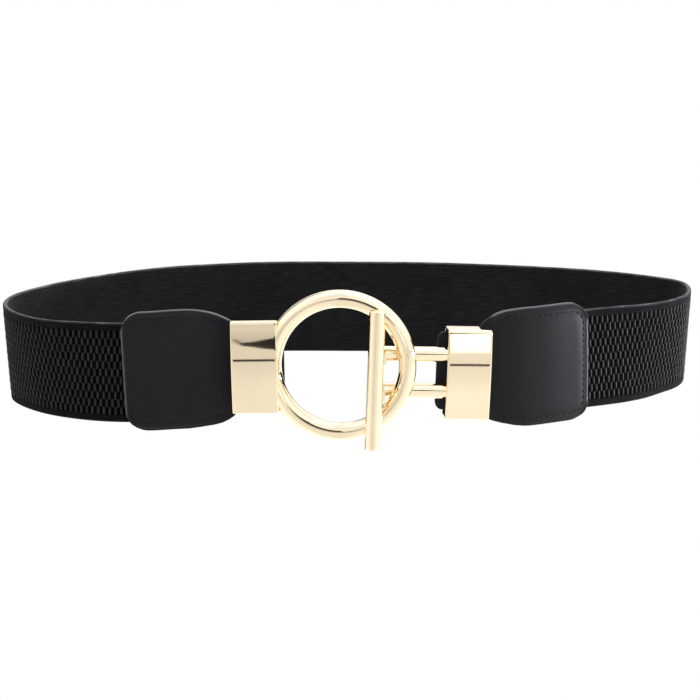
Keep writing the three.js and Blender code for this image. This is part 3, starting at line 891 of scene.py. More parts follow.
def makeRibTree():
    tree, given, result = newGroup("ribRows", "GeometryNodeTree", [
        ("Geometry", "Geometry"),
        ("Rib", "Object"),
        ("Run", "Float", 0.5),
        ("Pitch", "Float", 0.00235),
        ("Rows", "Int", 11),
        ("Row pitch", "Float", 0.0031),
        ("Spread", "Float", 0.06),
        ("Seed", "Int", 0),
        ("Material", "Material"),
    ], [("Geometry", "Geometry")])
    columns = mathNode(tree, "FLOOR", mathNode(tree, "DIVIDE", given["Run"], given["Pitch"]))
    width = product(tree, mathNode(tree, "SUBTRACT", columns, 1.0), given["Pitch"])
    height = product(tree, mathNode(tree, "SUBTRACT", given["Rows"], 1.0), given["Row pitch"])
    grid = addNode(tree, "GeometryNodeMeshGrid",
                   {"Size X": width, "Size Y": height, "Vertices X": columns, "Vertices Y": given["Rows"]})
    index = addNode(tree, "GeometryNodeInputIndex").outputs[0]
    odd = mathNode(tree, "MODULO", mathNode(tree, "MODULO", index, given["Rows"]), 2.0)
    stagger = addNode(tree, "ShaderNodeCombineXYZ", {0: product(tree, odd, given["Pitch"], 0.5)}).outputs[0]
    position = addNode(tree, "GeometryNodeInputPosition").outputs[0]
    normal = addNode(tree, "GeometryNodeInputNormal").outputs[0]
    spot = vectorNode(tree, "ADD", position, stagger)
    faceMap = namedVector(tree, "faceMap")

    def onFace(value, where):
        sample = {"Mesh": given["Geometry"], "Value": value, "UV Map": faceMap, "Sample UV": where}
        return addNode(tree, "GeometryNodeSampleUVSurface", sample, data_type="FLOAT_VECTOR").outputs["Value"]

    here = onFace(position, spot)
    above = onFace(position, vectorNode(tree, "ADD", spot, (0, elastic["upProbe"], 0)))
    captured = tree.nodes.new("GeometryNodeCaptureAttribute")
    captured.capture_items.new("VECTOR", "facing")
    captured.capture_items.new("VECTOR", "upward")
    feed(tree, captured, {
        "Geometry": grid.outputs["Mesh"],
        "facing": onFace(normal, spot),
        "upward": vectorNode(tree, "SUBTRACT", above, here),
    })
    moved = addNode(tree, "GeometryNodeSetPosition",
                    {"Geometry": captured.outputs["Geometry"], "Position": here})
    turn = addNode(tree, "FunctionNodeAxesToRotation",
                   {"Primary Axis": captured.outputs["facing"], "Secondary Axis": captured.outputs["upward"]},
                   primary_axis="Z", secondary_axis="Y")
    rib = addNode(tree, "GeometryNodeObjectInfo", {"Object": given["Rib"]})
    limits = {}
    for place, operation in enumerate(("SUBTRACT", "ADD")):
        size = mathNode(tree, operation, 1.0, given["Spread"])
        limits[place] = addNode(tree, "ShaderNodeCombineXYZ", {0: size, 1: size, 2: size}).outputs[0]
    size = addNode(tree, "FunctionNodeRandomValue", {**limits, "Seed": given["Seed"]},
                   data_type="FLOAT_VECTOR")
    placed = addNode(tree, "GeometryNodeInstanceOnPoints", {
        "Points": moved.outputs[0],
        "Instance": rib.outputs["Geometry"],
        "Rotation": turn.outputs[0],
        "Scale": size.outputs[0],
    })
    tone = addNode(tree, "FunctionNodeRandomValue", {"Seed": given["Seed"]}, data_type="FLOAT")
    stored = addNode(tree, "GeometryNodeStoreNamedAttribute",
                     {"Geometry": placed.outputs[0], "Name": "ribTone", "Value": tone.outputs[1]},
                     data_type="FLOAT", domain="INSTANCE")
    return finish(tree, stored.outputs[0], given, result)


def storeOn(piece, name, kind, values):
    field = "vector" if kind == "FLOAT_VECTOR" else "value"
    attribute = piece.data.attributes.new(name, kind, "POINT")
    attribute.data.foreach_set(field, np.asarray(values, np.float32).ravel())


def makeRibFace(ribFrom, ribTo):  # what the ribs stand on, with a map in metres from the middle of the run
    along = stretch(ribFrom, ribTo, elastic["step"])
    reach = halfBand - elastic["faceMargin"]
    up = np.linspace(-reach, reach, elastic["faceRows"])
    face = beltPath.place(along[:, None], elastic["base"], up[None, :])
    guide = meshObject("ribFace", face.reshape(-1, 3), loftFaces(len(along), len(up), closed=False))
    flatAlong, flatUp = np.broadcast_arrays(along[:, None] - (ribFrom + ribTo) / 2, up[None, :])
    storeOn(guide, "faceMap", "FLOAT_VECTOR", np.stack([flatAlong, flatUp, 0 * flatUp], axis=-1))
    outward = beltPath.frames(along[:1])[1][0]
    if np.dot(guide.data.polygons[0].normal, outward) < 0:
        guide.data.flip_normals()
    return guide


def makeElastic():
    outline = bandOutline()
    distances = stretch(bandFrom, bandTo, elastic["step"])
    rings = beltPath.place(distances[:, None], outline[None, :, 0], outline[None, :, 1])
    uvs = np.stack(np.broadcast_arrays(distances[:, None], outline[None, :, 1]), axis=-1)
    body = loftObject("wovenGround", rings, uvs)
    storeOn(body, "outerSide", "FLOAT", np.broadcast_to(outline[:, 0] > 0, rings.shape[:2]))
    body.data.materials.append(materials["ground"])

    ribFrom = ringNeck + leather["length"] - elastic["ribCover"]
    ribTo = beltPath.length - toggleNeck - leather["length"] + elastic["ribCover"]
    guide = makeRibFace(ribFrom, ribTo)
    rib = makeRibShape()
    growWith(guide, makeRibTree(), {
        "Rib": rib,
        "Run": ribTo - ribFrom - elastic["ribPitch"],
        "Pitch": elastic["ribPitch"],
        "Rows": elastic["ribRows"],
        "Row pitch": (elastic["height"] - 2 * elastic["ribMargin"]) / elastic["ribRows"],
        "Spread": elastic["ribSpread"],
        "Seed": elastic["ribSeed"],
        "Material": materials["rib"],
    })
    ribs = baked(guide, "ribs", elastic["ribSharpAngle"], helpers=(rib,))
    print("ribs", len(ribs.data.polygons), "faces")
    return joined("elasticBand", [body, ribs])


def joined(name, pieces):  # joins meshes into the first, keeping their materials
    with bpy.context.temp_override(active_object=pieces[0], object=pieces[0], selected_objects=pieces,
                                   selected_editable_objects=pieces):
        bpy.ops.object.join()
    pieces[0].name = pieces[0].data.name = name
    return pieces[0]


dress(makeElastic(), "elastic_band")


# The leather ends: two layers folded through a sleeve, closed over the band and stitched round

ringEnd = {
    "name": "ringLeather",
    "neck": ringNeck,
    "setback": sleeve["ringSetback"],
    "rises": ringRises,
    "fromTip": lambda distance: distance,
    "seed": leather["ringSeed"],
}
toggleEnd = {
    "name": "toggleLeather",
    "neck": toggleNeck,
    "setback": sleeve["toggleSetback"],
    "rises": toggleRises,
    "fromTip": lambda distance: beltPath.length - distance,
    "seed": leather["toggleSeed"],
}


def grownAt(along):
    table = np.array(shoulderRows)
    return np.interp(along, table[:, 0], table[:, 1])


def tabRise(end, distance):  # the table smoothed over a few millimetres
    table = np.array(end["rises"])
    spread = np.linspace(-leather["riseBlend"], leather["riseBlend"], leather["riseSamples"])
    near = np.add.outer(np.asarray(distance, float) - end["neck"], spread) / mm
    return np.interp(near, table[:, 0], table[:, 1]).mean(axis=-1) * mm


def slanted(end, distance, up):
    grown = smoothStep(distance, end["neck"], end["neck"] + leather["length"])
    return distance + leather["endSlant"] * up * grown


def tabSizes(end, distance):  # the outline's half height and the faces' place at a distance
    neck = end["neck"]
    along = np.clip((distance - neck + end["setback"]) / leather["shoulder"], 0, 1)
    full = (neckHeight + (tabHeight - neckHeight) * grownAt(along)) / 2
    before = neck + leather["length"] - distance
    height = full - roundedBy(leather["corner"], before) - roundedBy(leather["neckCorner"], distance)
    swell = smoothStep(along, 0, 1)
    middle = leather["thickness"] + (elastic["thickness"] / 2 + fitGap) * swell
    meeting = smoothStep(height, halfBand + leather["rise"], tabHeight / 2)
    edge = middle - (middle - leather["thickness"]) * meeting
    taper = roundedBy(leather["edgeRound"], before)
    return full, height, middle - taper, edge - taper, swell


def seamDepth(end, distance, up, full):  # how far the face lies below the puffed panel, groove included
    neck = end["neck"]
    corner, inset, endInset = leather["corner"], leather["stitchInset"], leather["stitchEndInset"]
    before = neck + leather["length"] - distance
    high = full - np.abs(up)
    bend = np.hypot((corner - before) / (corner - endInset), (corner - high) / (corner - inset))
    off = np.where((before < corner) & (high < corner), (1 - bend) * (corner - (inset + endInset) / 2),
                   np.minimum(high - inset, before - endInset))
    settled = leather["puff"] * (1 - smoothStep(off, -0.5 * leather["grooveWidth"], leather["puffReach"]))
    fade = smoothStep(distance, neck, neck + leather["puffReach"])
    return (settled + leather["groove"] * np.exp(-(off / leather["grooveWidth"]) ** 2)) * fade


def faceOut(end, distance, up):  # how far the leather's face stands out from the wall's middle
    full, height, middle, edge, swell = tabSizes(end, distance)
    fall = smoothStep(np.abs(up), height - leather["edgeSlope"], height - leather["edgeRound"])
    crown = middle + leather["crown"] * swell * (1 - (up / height) ** 2)
    return crown * (1 - fall) + edge * fall - seamDepth(end, distance, up, full) * (1 - fall)


def tabOutline(end, distance):
    height, edge = tabSizes(end, distance)[1::2]
    bend, crowding = leather["edgeRound"], leather["faceCrowding"]
    flat = height - bend
    even = np.linspace(-1, 1, leather["faceColumns"])
    up = (crowding * np.sin(even * math.pi / 2) + (1 - crowding) * even) * flat
    out = faceOut(end, distance, up)
    angles = np.linspace(0, math.pi / 2, leather["edgeSteps"])[1:]
    arcOut, arcUp = edge - bend + bend * np.cos(angles), flat + bend * np.sin(angles)
    half = [*zip(arcOut[::-1], -arcUp[::-1]), *zip(out, up), *zip(arcOut, arcUp)]
    notch = height - leather["edgeSeam"]
    lipOut, lipIn = leather["seamLip"]
    front = [(0, -notch), (lipOut, -height + lipIn), *half, (lipOut, height - lipIn), (0, notch)]
    back = [(-o, u) for o, u in reversed(front[1:-1])]
    return np.array(front + back)


def tabDistances(end):
    corner = leather["corner"]
    turn = 1 - np.cos(np.linspace(0, math.pi / 2, leather["cornerSteps"]))
    start = leather["neckCorner"] * turn
    outer = end["neck"] + leather["length"] - corner * turn[::-1]
    return np.concatenate([start, stretch(start[-1], outer[0], leather["step"])[1:-1], outer])


def makeStitchShape():
    length = [-1, -0.8, -0.35, 0.35, 0.8, 1]
    width = [0.35, 0.75, 1, 1, 0.75, 0.35]
    rise = [-0.7, -0.25, 0, 0, -0.25, -0.7]
    sides, radius = leather["stitchSides"], leather["stitchWidth"] / 2
    rings = []
    for x, wide, drop in zip(length, width, rise):
        for k in range(sides):
            angle = 2 * math.pi * k / sides
            rings.append((x * leather["stitchLength"] / 2, math.cos(angle) * wide * radius,
                          (math.sin(angle) * wide + drop) * radius + leather["stitchSink"]))
    return outwards(meshObject("stitchShape", rings, loftFaces(len(length), sides)))


def makeStitchTree():
    tree, given, result = newGroup("stitchRow", "GeometryNodeTree", [
        ("Geometry", "Geometry"),
        ("Stitch", "Object"),
        ("Pitch", "Float", 0.0025),
        ("Seed", "Int", 0),
        ("Material", "Material"),
    ], [("Geometry", "Geometry")])
    line = addNode(tree, "GeometryNodeMeshToCurve", {"Mesh": given["Geometry"]})
    spaced = addNode(tree, "GeometryNodeResampleCurve", {"Curve": line.outputs[0], "Length": given["Pitch"]},
                     mode="LENGTH")
    along = addNode(tree, "GeometryNodeInputTangent").outputs[0]
    turn = addNode(tree, "FunctionNodeAxesToRotation",
                   {"Primary Axis": namedVector(tree, "facing"), "Secondary Axis": along},
                   primary_axis="Z", secondary_axis="X")
    stitch = addNode(tree, "GeometryNodeObjectInfo", {"Object": given["Stitch"]})
    most = leather["stitchSlip"]
    least = [-angle for angle in most]
    slip = addNode(tree, "FunctionNodeRandomValue", {0: least, 1: most, "Seed": given["Seed"]},
                   data_type="FLOAT_VECTOR")
    wander = addNode(tree, "FunctionNodeEulerToRotation", {0: slip.outputs[0]})
    both = addNode(tree, "FunctionNodeRotateRotation", {0: turn.outputs[0], 1: wander.outputs[0]},
                   rotation_space="LOCAL")
    placed = addNode(tree, "GeometryNodeInstanceOnPoints", {
        "Points": spaced.outputs[0],
        "Instance": stitch.outputs["Geometry"],
        "Rotation": both.outputs[0],
    })
    return finish(tree, placed.outputs[0], given, result)


stitchTree = makeStitchTree()


def stitchRoute(end):  # distances and heights along the stitched row
    corner, inset, endInset = leather["corner"], leather["stitchInset"], leather["stitchEndInset"]
    bendFrom, bendUp = end["neck"] + leather["length"] - corner, tabHeight / 2 - corner
    straight = stretch(end["neck"] + leather["stitchFrom"], bendFrom, leather["routeStep"])
    half = [(distance, tabSizes(end, distance)[0] - inset) for distance in straight]
    half += [(bendFrom + (corner - endInset) * math.sin(angle), bendUp + (corner - inset) * math.cos(angle))
             for angle in np.linspace(0, math.pi / 2, leather["routeBendSteps"])[1:]]
    half = np.array(half)
    return np.concatenate([half, half[::-1] * [1, -1]])


def makeStitchRow(end, side, stitch):
    name = end["name"]
    spots, facing = [], []
    for distance, up in stitchRoute(end):
        out = side * faceOut(end, distance, up)
        along = end["fromTip"](slanted(end, distance, up))
        spots.append(beltPath.place(along, out, up + tabRise(end, distance)))
        facing.append(side * beltPath.frames(np.array([end["fromTip"](distance)]))[1][0])
    guide = bpy.data.meshes.new(name + "Row")
    guide.from_pydata([tuple(s) for s in spots], [(i, i + 1) for i in range(len(spots) - 1)], [])
    line = bpy.data.objects.new(name + "Row", guide)
    bpy.context.scene.collection.objects.link(line)
    storeOn(line, "facing", "FLOAT_VECTOR", facing)
    growWith(line, stitchTree, {
        "Stitch": stitch,
        "Pitch": leather["stitchPitch"],
        "Seed": end["seed"] + side,
        "Material": materials["thread"],
    })
    return baked(line, name + "Stitches", leather["stitchSharpAngle"])


def edgeHighlight(end, distances, sides):  # painted highlight: one on the cut edge, fading over the columns and rows beside it
    highlight = np.zeros((len(distances), sides))
    columns = leather["highlightColumns"]
    for start in (0, sides // 2):
        for k in range(1 - columns, columns):
            highlight[:, (start + k) % sides] = 1 - abs(k) / columns
    before = end["neck"] + leather["length"] - distances
    highlight = np.maximum(highlight, (1 - smoothStep(before, *leather["highlightEnd"]))[:, None])
    return highlight * smoothStep(distances, end["neck"], end["neck"] + leather["highlightStart"])[:, None]


def makePocket(end):  # the room for the band, open at the leather's end
    out, up = elastic["thickness"] / 2 + fitGap, halfBand + fitGap
    inner = end["neck"] + elastic["setback"] - fitGap
    reach = stretch(inner, end["neck"] + leather["length"] + leather["corner"], leather["pocketStep"])
    square = np.array([(out, -up), (out, up), (-out, up), (-out, -up)])
    rings = beltPath.place(end["fromTip"](reach)[:, None], square[None, :, 0], square[None, :, 1])
    return loftObject(end["name"] + "Pocket", rings)


def makeTab(end):
    distances = tabDistances(end)
    outlines = np.array([tabOutline(end, distance) for distance in distances])
    out, up = outlines[..., 0], outlines[..., 1]
    along = end["fromTip"](slanted(end, distances[:, None], up))
    rings = beltPath.place(along, out, up + tabRise(end, distances)[:, None])
    uvs = np.stack(np.broadcast_arrays(distances[:, None], up), axis=-1)
    shell = loftObject(end["name"] + "Shell", rings, uvs)
    storeOn(shell, "edgeHighlight", "FLOAT", edgeHighlight(end, distances, outlines.shape[1]))
    pocket = makePocket(end)
    addBoolean(shell, pocket, "DIFFERENCE")
    tab = baked(shell, end["name"], leather["sharpAngle"], helpers=(pocket,))
    tab.data.materials.clear()
    tab.data.materials.append(materials["leather"])

    stitch = makeStitchShape()
    rows = [makeStitchRow(end, side, stitch) for side in (1, -1)]
    bpy.data.objects.remove(stitch)
    return joined(end["name"], [tab, *rows])


dress(makeTab(ringEnd), "ring_tab")
dress(makeTab(toggleEnd), "toggle_tab")


# The clasp's metal

def sleeveOutline(place, inset, corner):  # its back is lower than its front by the taper, above and below
    half = place["height"] / 2 - inset
    back = half - place["taper"]
    slope = (back + half) / 2
    rear, face, crown = sleeveDepth - inset, inset + sleeve["dome"], inset - sleeve["dome"]
    steps = {key: sleeve[key + "Steps"] for key in ("corner", "rear", "side", "dome")}
    return np.concatenate([
        quadratic((rear - corner, -back), (rear, -back), (rear, -back + corner), steps["corner"]),
        quadratic((rear, -back + corner), (rear, 0), (rear, back - corner), steps["rear"]),
        quadratic((rear, back - corner), (rear, back), (rear - corner, back), steps["corner"]),
        quadratic((rear - corner, back), (rear / 2, slope), (face + corner, half), steps["side"]),
        quadratic((face + corner, half), (face, half), (face, half - corner), steps["corner"]),
        quadratic((face, half - corner), (crown, 0), (face, -half + corner), steps["dome"]),
        quadratic((face, -half + corner), (face, -half), (face + corner, -half), steps["corner"]),
        quadratic((face + corner, -half), (rear / 2, -slope), (rear - corner, -back), steps["side"]),
    ])


def sleeveLoft(name, place, columns, corner):  # columns: places along the sleeve, and the outline's inset
    rings = []
    for x, inset in columns:
        outline = sleeveOutline(place, inset, corner)
        rings.append(np.column_stack([np.full(len(outline), x), outline]))
    return loftObject(name, rings)


def roundedEnds(low, high, bend):  # places from low to high, and how far the outline draws in there
    turn = reversed(np.linspace(0, math.pi / 2, roundSteps))
    rounded = [(low + bend * (1 - math.sin(angle)), bend * (1 - math.cos(angle))) for angle in turn]
    rounded.append((low + 2 * bend, 0))
    return rounded + [(high + low - place, inset) for place, inset in reversed(rounded)]


def makeSleeve(name, place):
    low, high = sorted((place["inner"], place["outer"]))
    bend, wall = sleeve["edgeRound"], sleeve["wall"]
    outer = roundedEnds(low, high, bend)
    lip = bend / 3
    inner = [(low - wall, wall - lip), (low, wall - lip), (low + lip, wall), (high - lip, wall),
             (high, wall - lip), (high + wall, wall - lip)]
    shell = sleeveLoft(name, place, outer, sleeve["corner"])
    cavity = sleeveLoft(name + "Cavity", place, inner, sleeve["innerCorner"])
    direction = 1 if place["outer"] > place["inner"] else -1
    reliefDepth = sleeve["dome"] + sleeve["corner"] + wall
    ends = sorted((place["outer"] - direction * place["setback"], place["outer"] + direction * wall))
    clear = sleeve["height"]
    square = [(reliefDepth, -clear), (reliefDepth + sleeveDepth, -clear),
              (reliefDepth + sleeveDepth, clear), (reliefDepth, clear)]
    relief = loftObject(name + "Relief", [[(x, y, z) for y, z in square] for x in ends])
    addBoolean(shell, cavity, "DIFFERENCE")
    addBoolean(shell, relief, "DIFFERENCE")
    made = baked(shell, name, metalSharpAngle, helpers=(cavity, relief))
    made.data.transform(Matrix.Translation((0, place["face"], place["rise"] + place["shift"])))
    return made


def makeTube(name, points, radius, sides):  # a round bar along points in the XY plane
    points = np.array(points)
    ahead = np.gradient(points, axis=0)
    ahead /= np.linalg.norm(ahead, axis=1, keepdims=True)
    side = np.stack([-ahead[:, 1], ahead[:, 0], np.zeros(len(points))], axis=1)
    angles = np.linspace(0, 2 * math.pi, sides, endpoint=False)
    rings = (points[:, None] + radius * (np.cos(angles)[None, :, None] * side[:, None]
                                         + np.sin(angles)[None, :, None] * np.array([0, 0, 1])))
    return loftObject(name, rings)


def soldered(name, pieces, place):
    body = pieces[0]
    for other in pieces[1:]:
        addBoolean(body, other, "UNION")
    made = baked(body, name, metalSharpAngle, helpers=pieces[1:])
    made.data.transform(Matrix.Translation(Vector(origin)) @ place)
    made.data.materials.clear()
    made.data.materials.append(materials["gold"])
    return made


def makeRingBuckle():
    steps, sides = ring["steps"], ring["sides"]
    turn = np.linspace(0, 2 * math.pi, steps, endpoint=False)
    wire = np.linspace(0, 2 * math.pi, sides, endpoint=False)
    reach = ring["radius"] + wireRadius * np.cos(wire)[None]
    points = np.stack([
        reach * np.cos(turn)[:, None],
        np.broadcast_to(wireRadius * np.sin(wire)[None], (steps, sides)),
        reach * np.sin(turn)[:, None],
    ], axis=-1)
    faces = []
    for i in range(steps):
        for k in range(sides):
            a, b = i * sides + k, i * sides + (k + 1) % sides
            c, d = (i + 1) % steps * sides + k, (i + 1) % steps * sides + (k + 1) % sides
            faces.append((a, b, d, c))
    wireRing = outwards(meshObject("ringWire", points.reshape(-1, 3), faces))
    return soldered("ringBuckle", [makeSleeve("ringSleeve", ringSleeve), wireRing], ringFrame)


def makeBar():
    half = toggle["barLength"] / 2
    around = np.linspace(0, 2 * math.pi, toggle["sides"], endpoint=False)
    rings = []
    for z, inset in roundedEnds(-half, half, toggle["barRound"]):
        radius = barRadius - inset
        rings.append([(radius * math.cos(angle), radius * math.sin(angle), z) for angle in around])
    return loftObject("bar", rings)


def makeRod(name, height):
    root, bend, reach = toggle["rodRoot"], toggle["rodBend"], toggle["sleeveReach"] + toggle["rodSeat"]
    route = np.concatenate([
        np.array([(root, 0), (root, (rodSet - bend) / 2)]),
        quadratic((root, rodSet - bend), (root, rodSet), (root + bend, rodSet), toggle["bendSteps"]),
        np.array([(root + bend, rodSet), (reach / 2, rodSet), (reach, rodSet)]),
    ])
    points = np.column_stack([route, np.full(len(route), height)])
    return makeTube(name, points, rodRadius, toggle["sides"])


def makeToggleBuckle():
    rise, half = toggle["rodRise"], toggle["rodSpacing"] / 2
    rods = [makeRod("rodLow", rise - half), makeRod("rodHigh", rise + half)]
    return soldered("toggleBuckle", [makeSleeve("toggleSleeve", toggleSleeve), *rods, makeBar()], toggleFrame)


dress(makeRingBuckle(), "ring_buckle")
dress(makeToggleBuckle(), "toggle_buckle")


# Floor, light and camera

studio = {
    "floorSize": 6.0,
    "floorColour": (0.9, 0.9, 0.9, 1),
    "floorRoughness": 0.9,
    "ambient": 0.37,
    "ambientTilt": 0.15,  # how much brighter the light is from the right
    "distance": 0.95,
    "pitch": 16.0,
    "aim": Vector((-0.894 * mm, -59.432 * mm, 37.24 * mm)),  # the point that the camera looks at
    "focalPixels": 2432.0,
    "framePixels": 700.0,
    "sensor": 36.0,
    "clip": (0.01, 50),
}

lamps = [
    {"name": "topSoftbox", "place": (0, 0.25, 1.2), "aim": (0, 0, 0), "size": (1.4, 1.0),
     "power": 17, "colour": (1, 1, 1), "mirrored": False},
    {"name": "sideSoftbox", "place": (1.35, 0.0, 0.04), "aim": (0.1, 0, 0.03), "size": (0.7, 0.06),
     "power": 23, "colour": (0.93, 0.97, 1.0), "mirrored": True},
]

# What the polished metal mirrors: the height of the direction in degrees, and the light from there
mirroredRows = [
    (-90, (0.96, 0.96, 0.96)),
    (-13, (0.97, 0.97, 0.97)),
    (-3.6, (0.8, 0.8, 0.8)),
    (0.5, (0.82, 0.82, 0.82)),
    (1.8, (0.6, 0.6, 0.6)),
    (6, (0.82, 0.82, 0.82)),
    (12, (0.8, 0.8, 0.8)),
    (25, (1.1, 1.1, 1.1)),
    (48, (0.98, 1.0, 1.05)),
    (62, (0.98, 1.08, 1.25)),
    (90, (0.98, 1.08, 1.25)),
]
mirroredTop = 1.3
mirroredRight = {"azimuth": (-5, 7), "gain": 0.14}  # the room is lighter on the bar's side
mirroredSides = {"azimuth": (25, 60), "gain": 0.32}  # and lightest on either side

# Boxes of directions in the room, in degrees, with half the width of their soft edges: each one's azimuth,
# its height, the edges aside, the edges above and below, and how light or dark it is
boxColumns = ("azimuth", "height", "aside", "above", "strength")
softbox = ((8.5, 22), (0.95, 6.0), (1.0, 1.0), (0.45, 1.0), 2.0)
darkest = 0.96
darkBoxes = [
    ((-12, -6), (-4.35, -3.65), (0.5, 0.5), (0.08, 0.08), darkest),  # the thin line across the left sleeve
    ((10, 18), (-3.5, -2.8), (0.5, 0.5), (0.08, 0.08), darkest),  # the line across the right sleeve
    ((13, 14.5), (7.5, 28), (0.15, 0.15), (1.0, 1.0), darkest),  # the lines along the two rods
    ((-165, -112), (-30, 45), (4.0, 4.0), (5.0, 5.0), 0.6),  # behind on the left
]

# A dark shape straight ahead, and a ragged patch that spreads from its left side
darkShape = {"azimuth": 3.1, "height": 15.5, "reach": (10.15, 9.0), "boxiness": 8.0, "softness": 0.15}
darkPatch = {
    "azimuth": (-8.9, -7.75),
    "height": 1.0,
    "fall": 1.9,
    "hook": 1.2,
    "hookRange": (0.03, 0.25),
    "thin": 0.45,
    "thick": 3.9,
    "spread": 1.6,
    "ragged": 1.0,
    "raggedScale": 2.5,
    "raggedDetail": 4.0,
    "end": 0,
    "aside": (0.1, 1.0),
    "softness": (-0.1, 0.12),
}


def makeFloor():  # pure white to the camera, and out of the metal's way
    half = studio["floorSize"] / 2
    corners = [(-half, -half, 0), (half, -half, 0), (half, half, 0), (-half, half, 0)]
    floor = meshObject("floor", corners, [(0, 1, 2, 3)], smooth=False)
    material, tree, shader = newMaterial("pale floor")
    feed(tree, shader, {"Base Color": studio["floorColour"], "Roughness": studio["floorRoughness"]})
    seen = addNode(tree, "ShaderNodeLightPath").outputs["Is Camera Ray"]
    white = addNode(tree, "ShaderNodeEmission", {0: (1, 1, 1, 1), 1: 1.0}).outputs[0]
    mixed = addNode(tree, "ShaderNodeMixShader", {0: seen, 1: shader.outputs[0], 2: white}).outputs[0]
    feed(tree, tree.nodes["Material Output"], {0: mixed})
    floor.data.materials.append(material)
    floor.visible_glossy = False


def within(tree, value, limits, softEdges):  # one inside the two limits, and none outside
    (low, high), (lowSoft, highSoft) = limits, softEdges
    return product(tree, ranged(tree, value, (low - lowSoft, low + lowSoft)),
                   ranged(tree, value, (high + highSoft, high - highSoft)))


def boxOf(tree, azimuth, height, row):
    box = dict(zip(boxColumns, row))
    return product(tree, within(tree, azimuth, box["azimuth"], box["aside"]),
                   within(tree, height, box["height"], box["above"]), box["strength"])


def patchOf(tree, azimuth, height):  # thin on the left with a hook, and spreading to the right
    left, right = darkPatch["azimuth"]
    along = ranged(tree, azimuth, (left, right))
    spot = addNode(tree, "ShaderNodeCombineXYZ", {0: azimuth, 1: height}).outputs[0]
    rough = noiseOn(tree, spot, darkPatch["raggedScale"], darkPatch["raggedDetail"])
    noise = mathNode(tree, "SUBTRACT", rough, 0.5)
    ragged = product(tree, noise, darkPatch["ragged"], along)
    wide = mathNode(tree, "MULTIPLY_ADD", mathNode(tree, "POWER", along, darkPatch["spread"]),
                    darkPatch["thick"] / 2, darkPatch["thin"] / 2)
    foot = mathNode(tree, "MULTIPLY_ADD", along, -darkPatch["fall"], darkPatch["height"])
    hook = ranged(tree, along, darkPatch["hookRange"], (darkPatch["hook"], 0.0))
    middle = mathNode(tree, "ADD", mathNode(tree, "ADD", foot, hook), wide)
    off = mathNode(tree, "ABSOLUTE", mathNode(tree, "SUBTRACT", height, middle))
    inside = mathNode(tree, "SUBTRACT", mathNode(tree, "ADD", wide, ragged), off)
    return product(tree, ranged(tree, inside, darkPatch["softness"]),
                   within(tree, azimuth, (left, darkPatch["end"]), darkPatch["aside"]))


def shapeOf(tree, azimuth, height):  # a box with rounded corners
    powers = []
    middles = (darkShape["azimuth"], darkShape["height"])
    for value, middle, reach in zip((azimuth, height), middles, darkShape["reach"]):
        off = mathNode(tree, "DIVIDE", mathNode(tree, "SUBTRACT", value, middle), reach)
        powers.append(mathNode(tree, "POWER", mathNode(tree, "ABSOLUTE", off), darkShape["boxiness"]))
    soft = darkShape["softness"]
    return ranged(tree, mathNode(tree, "ADD", *powers), (1 + soft, 1 - soft))


def mirroredLight(tree, azimuth, height):  # how much of the room's light comes from a direction
    rightward = ranged(tree, azimuth, mirroredRight["azimuth"])
    sideward = ranged(tree, mathNode(tree, "ABSOLUTE", azimuth), mirroredSides["azimuth"])
    light = mathNode(tree, "ADD", product(tree, rightward, mirroredRight["gain"] * mirroredTop),
                     product(tree, sideward, mirroredSides["gain"] * mirroredTop))
    light = mathNode(tree, "ADD", light, boxOf(tree, azimuth, height, softbox))
    light = mathNode(tree, "ADD", mirroredTop, light)
    dark = mathNode(tree, "MAXIMUM", patchOf(tree, azimuth, height), shapeOf(tree, azimuth, height))
    dark = product(tree, dark, darkest)
    for box in darkBoxes:
        dark = mathNode(tree, "MAXIMUM", dark, boxOf(tree, azimuth, height, box))
    return product(tree, light, mathNode(tree, "SUBTRACT", 1.0, dark))


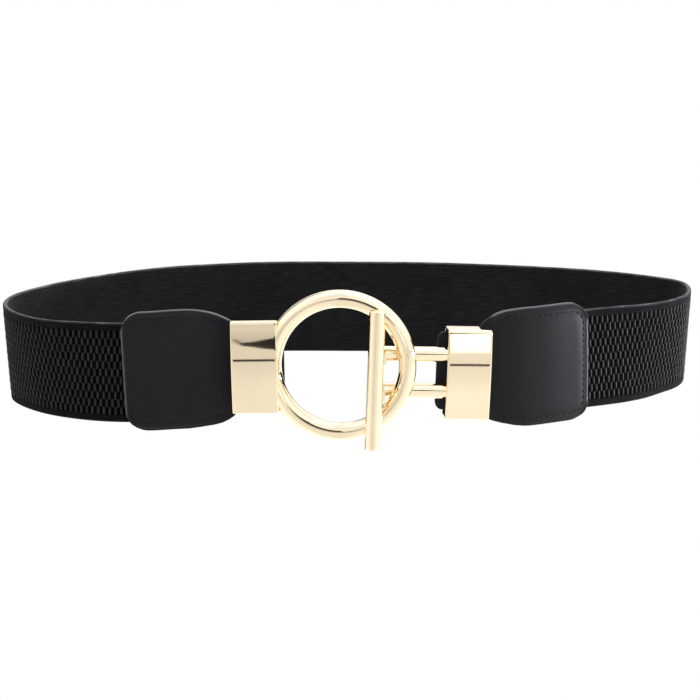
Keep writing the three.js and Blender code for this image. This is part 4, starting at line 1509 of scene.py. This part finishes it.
def makeSky():  # white to the camera, dimmer as light, and for the metal a room with a softbox
    world = bpy.data.worlds.new("studio")
    bpy.context.scene.world = world
    world.use_nodes = True
    tree = world.node_tree
    tree.nodes.clear()
    part = partsOf(tree, addNode(tree, "ShaderNodeTexCoord").outputs["Generated"])
    height = mathNode(tree, "DEGREES", mathNode(tree, "ARCSINE", part[2]))
    forward = product(tree, part[1], -1.0)
    azimuth = mathNode(tree, "DEGREES", mathNode(tree, "ARCTAN2", part[0], forward))
    share = mathNode(tree, "DIVIDE", mathNode(tree, "ADD", height, 90.0), 180.0)
    ramp = addNode(tree, "ShaderNodeValToRGB", {0: share})
    stops = ramp.color_ramp.elements
    while len(stops) < len(mirroredRows):
        stops.new(0.5)
    for stop, (degrees, colour) in zip(stops, mirroredRows):
        stop.position = (degrees + 90) / 180
        stop.color = (*[c / mirroredTop for c in colour], 1)

    def background(colour, strength):
        return addNode(tree, "ShaderNodeBackground", {0: colour, 1: strength}).outputs[0]

    white = (1, 1, 1, 1)
    tilted = mathNode(tree, "MULTIPLY_ADD", part[0], studio["ambientTilt"], studio["ambient"])
    mirrored = background(ramp.outputs[0], mirroredLight(tree, azimuth, height))
    seen = addNode(tree, "ShaderNodeLightPath").outputs
    light = addNode(tree, "ShaderNodeMixShader",
                    {0: seen["Is Glossy Ray"], 1: background(white, tilted), 2: mirrored}).outputs[0]
    mixed = addNode(tree, "ShaderNodeMixShader",
                    {0: seen["Is Camera Ray"], 1: light, 2: background(white, 1.0)}).outputs[0]
    addNode(tree, "ShaderNodeOutputWorld", {0: mixed})


def addLamp(lamp):
    data = bpy.data.lights.new(lamp["name"], "AREA")
    data.shape = "RECTANGLE"
    data.size, data.size_y = lamp["size"]
    data.energy = lamp["power"]
    data.color = lamp["colour"]
    made = bpy.data.objects.new(lamp["name"], data)
    made.location = lamp["place"]
    made.visible_glossy = lamp["mirrored"]
    made.rotation_euler = (Vector(lamp["aim"]) - Vector(lamp["place"])).to_track_quat("-Z", "Y").to_euler()
    bpy.context.scene.collection.objects.link(made)


def makeCamera():
    pitch = math.radians(studio["pitch"])
    data = bpy.data.cameras.new("camera")
    data.sensor_width = studio["sensor"]
    data.lens = studio["focalPixels"] / studio["framePixels"] * data.sensor_width
    camera = bpy.data.objects.new("camera", data)
    camera.location = studio["aim"] - studio["distance"] * Vector((0, math.cos(pitch), -math.sin(pitch)))
    camera.rotation_euler = (math.radians(90) - pitch, 0, 0)
    data.clip_start, data.clip_end = studio["clip"]
    bpy.context.scene.collection.objects.link(camera)
    bpy.context.scene.camera = camera


makeFloor()
makeSky()
for lamp in lamps:
    addLamp(lamp)
makeCamera()
bpy.context.scene.view_settings.view_transform = "Standard"
print("studio made")
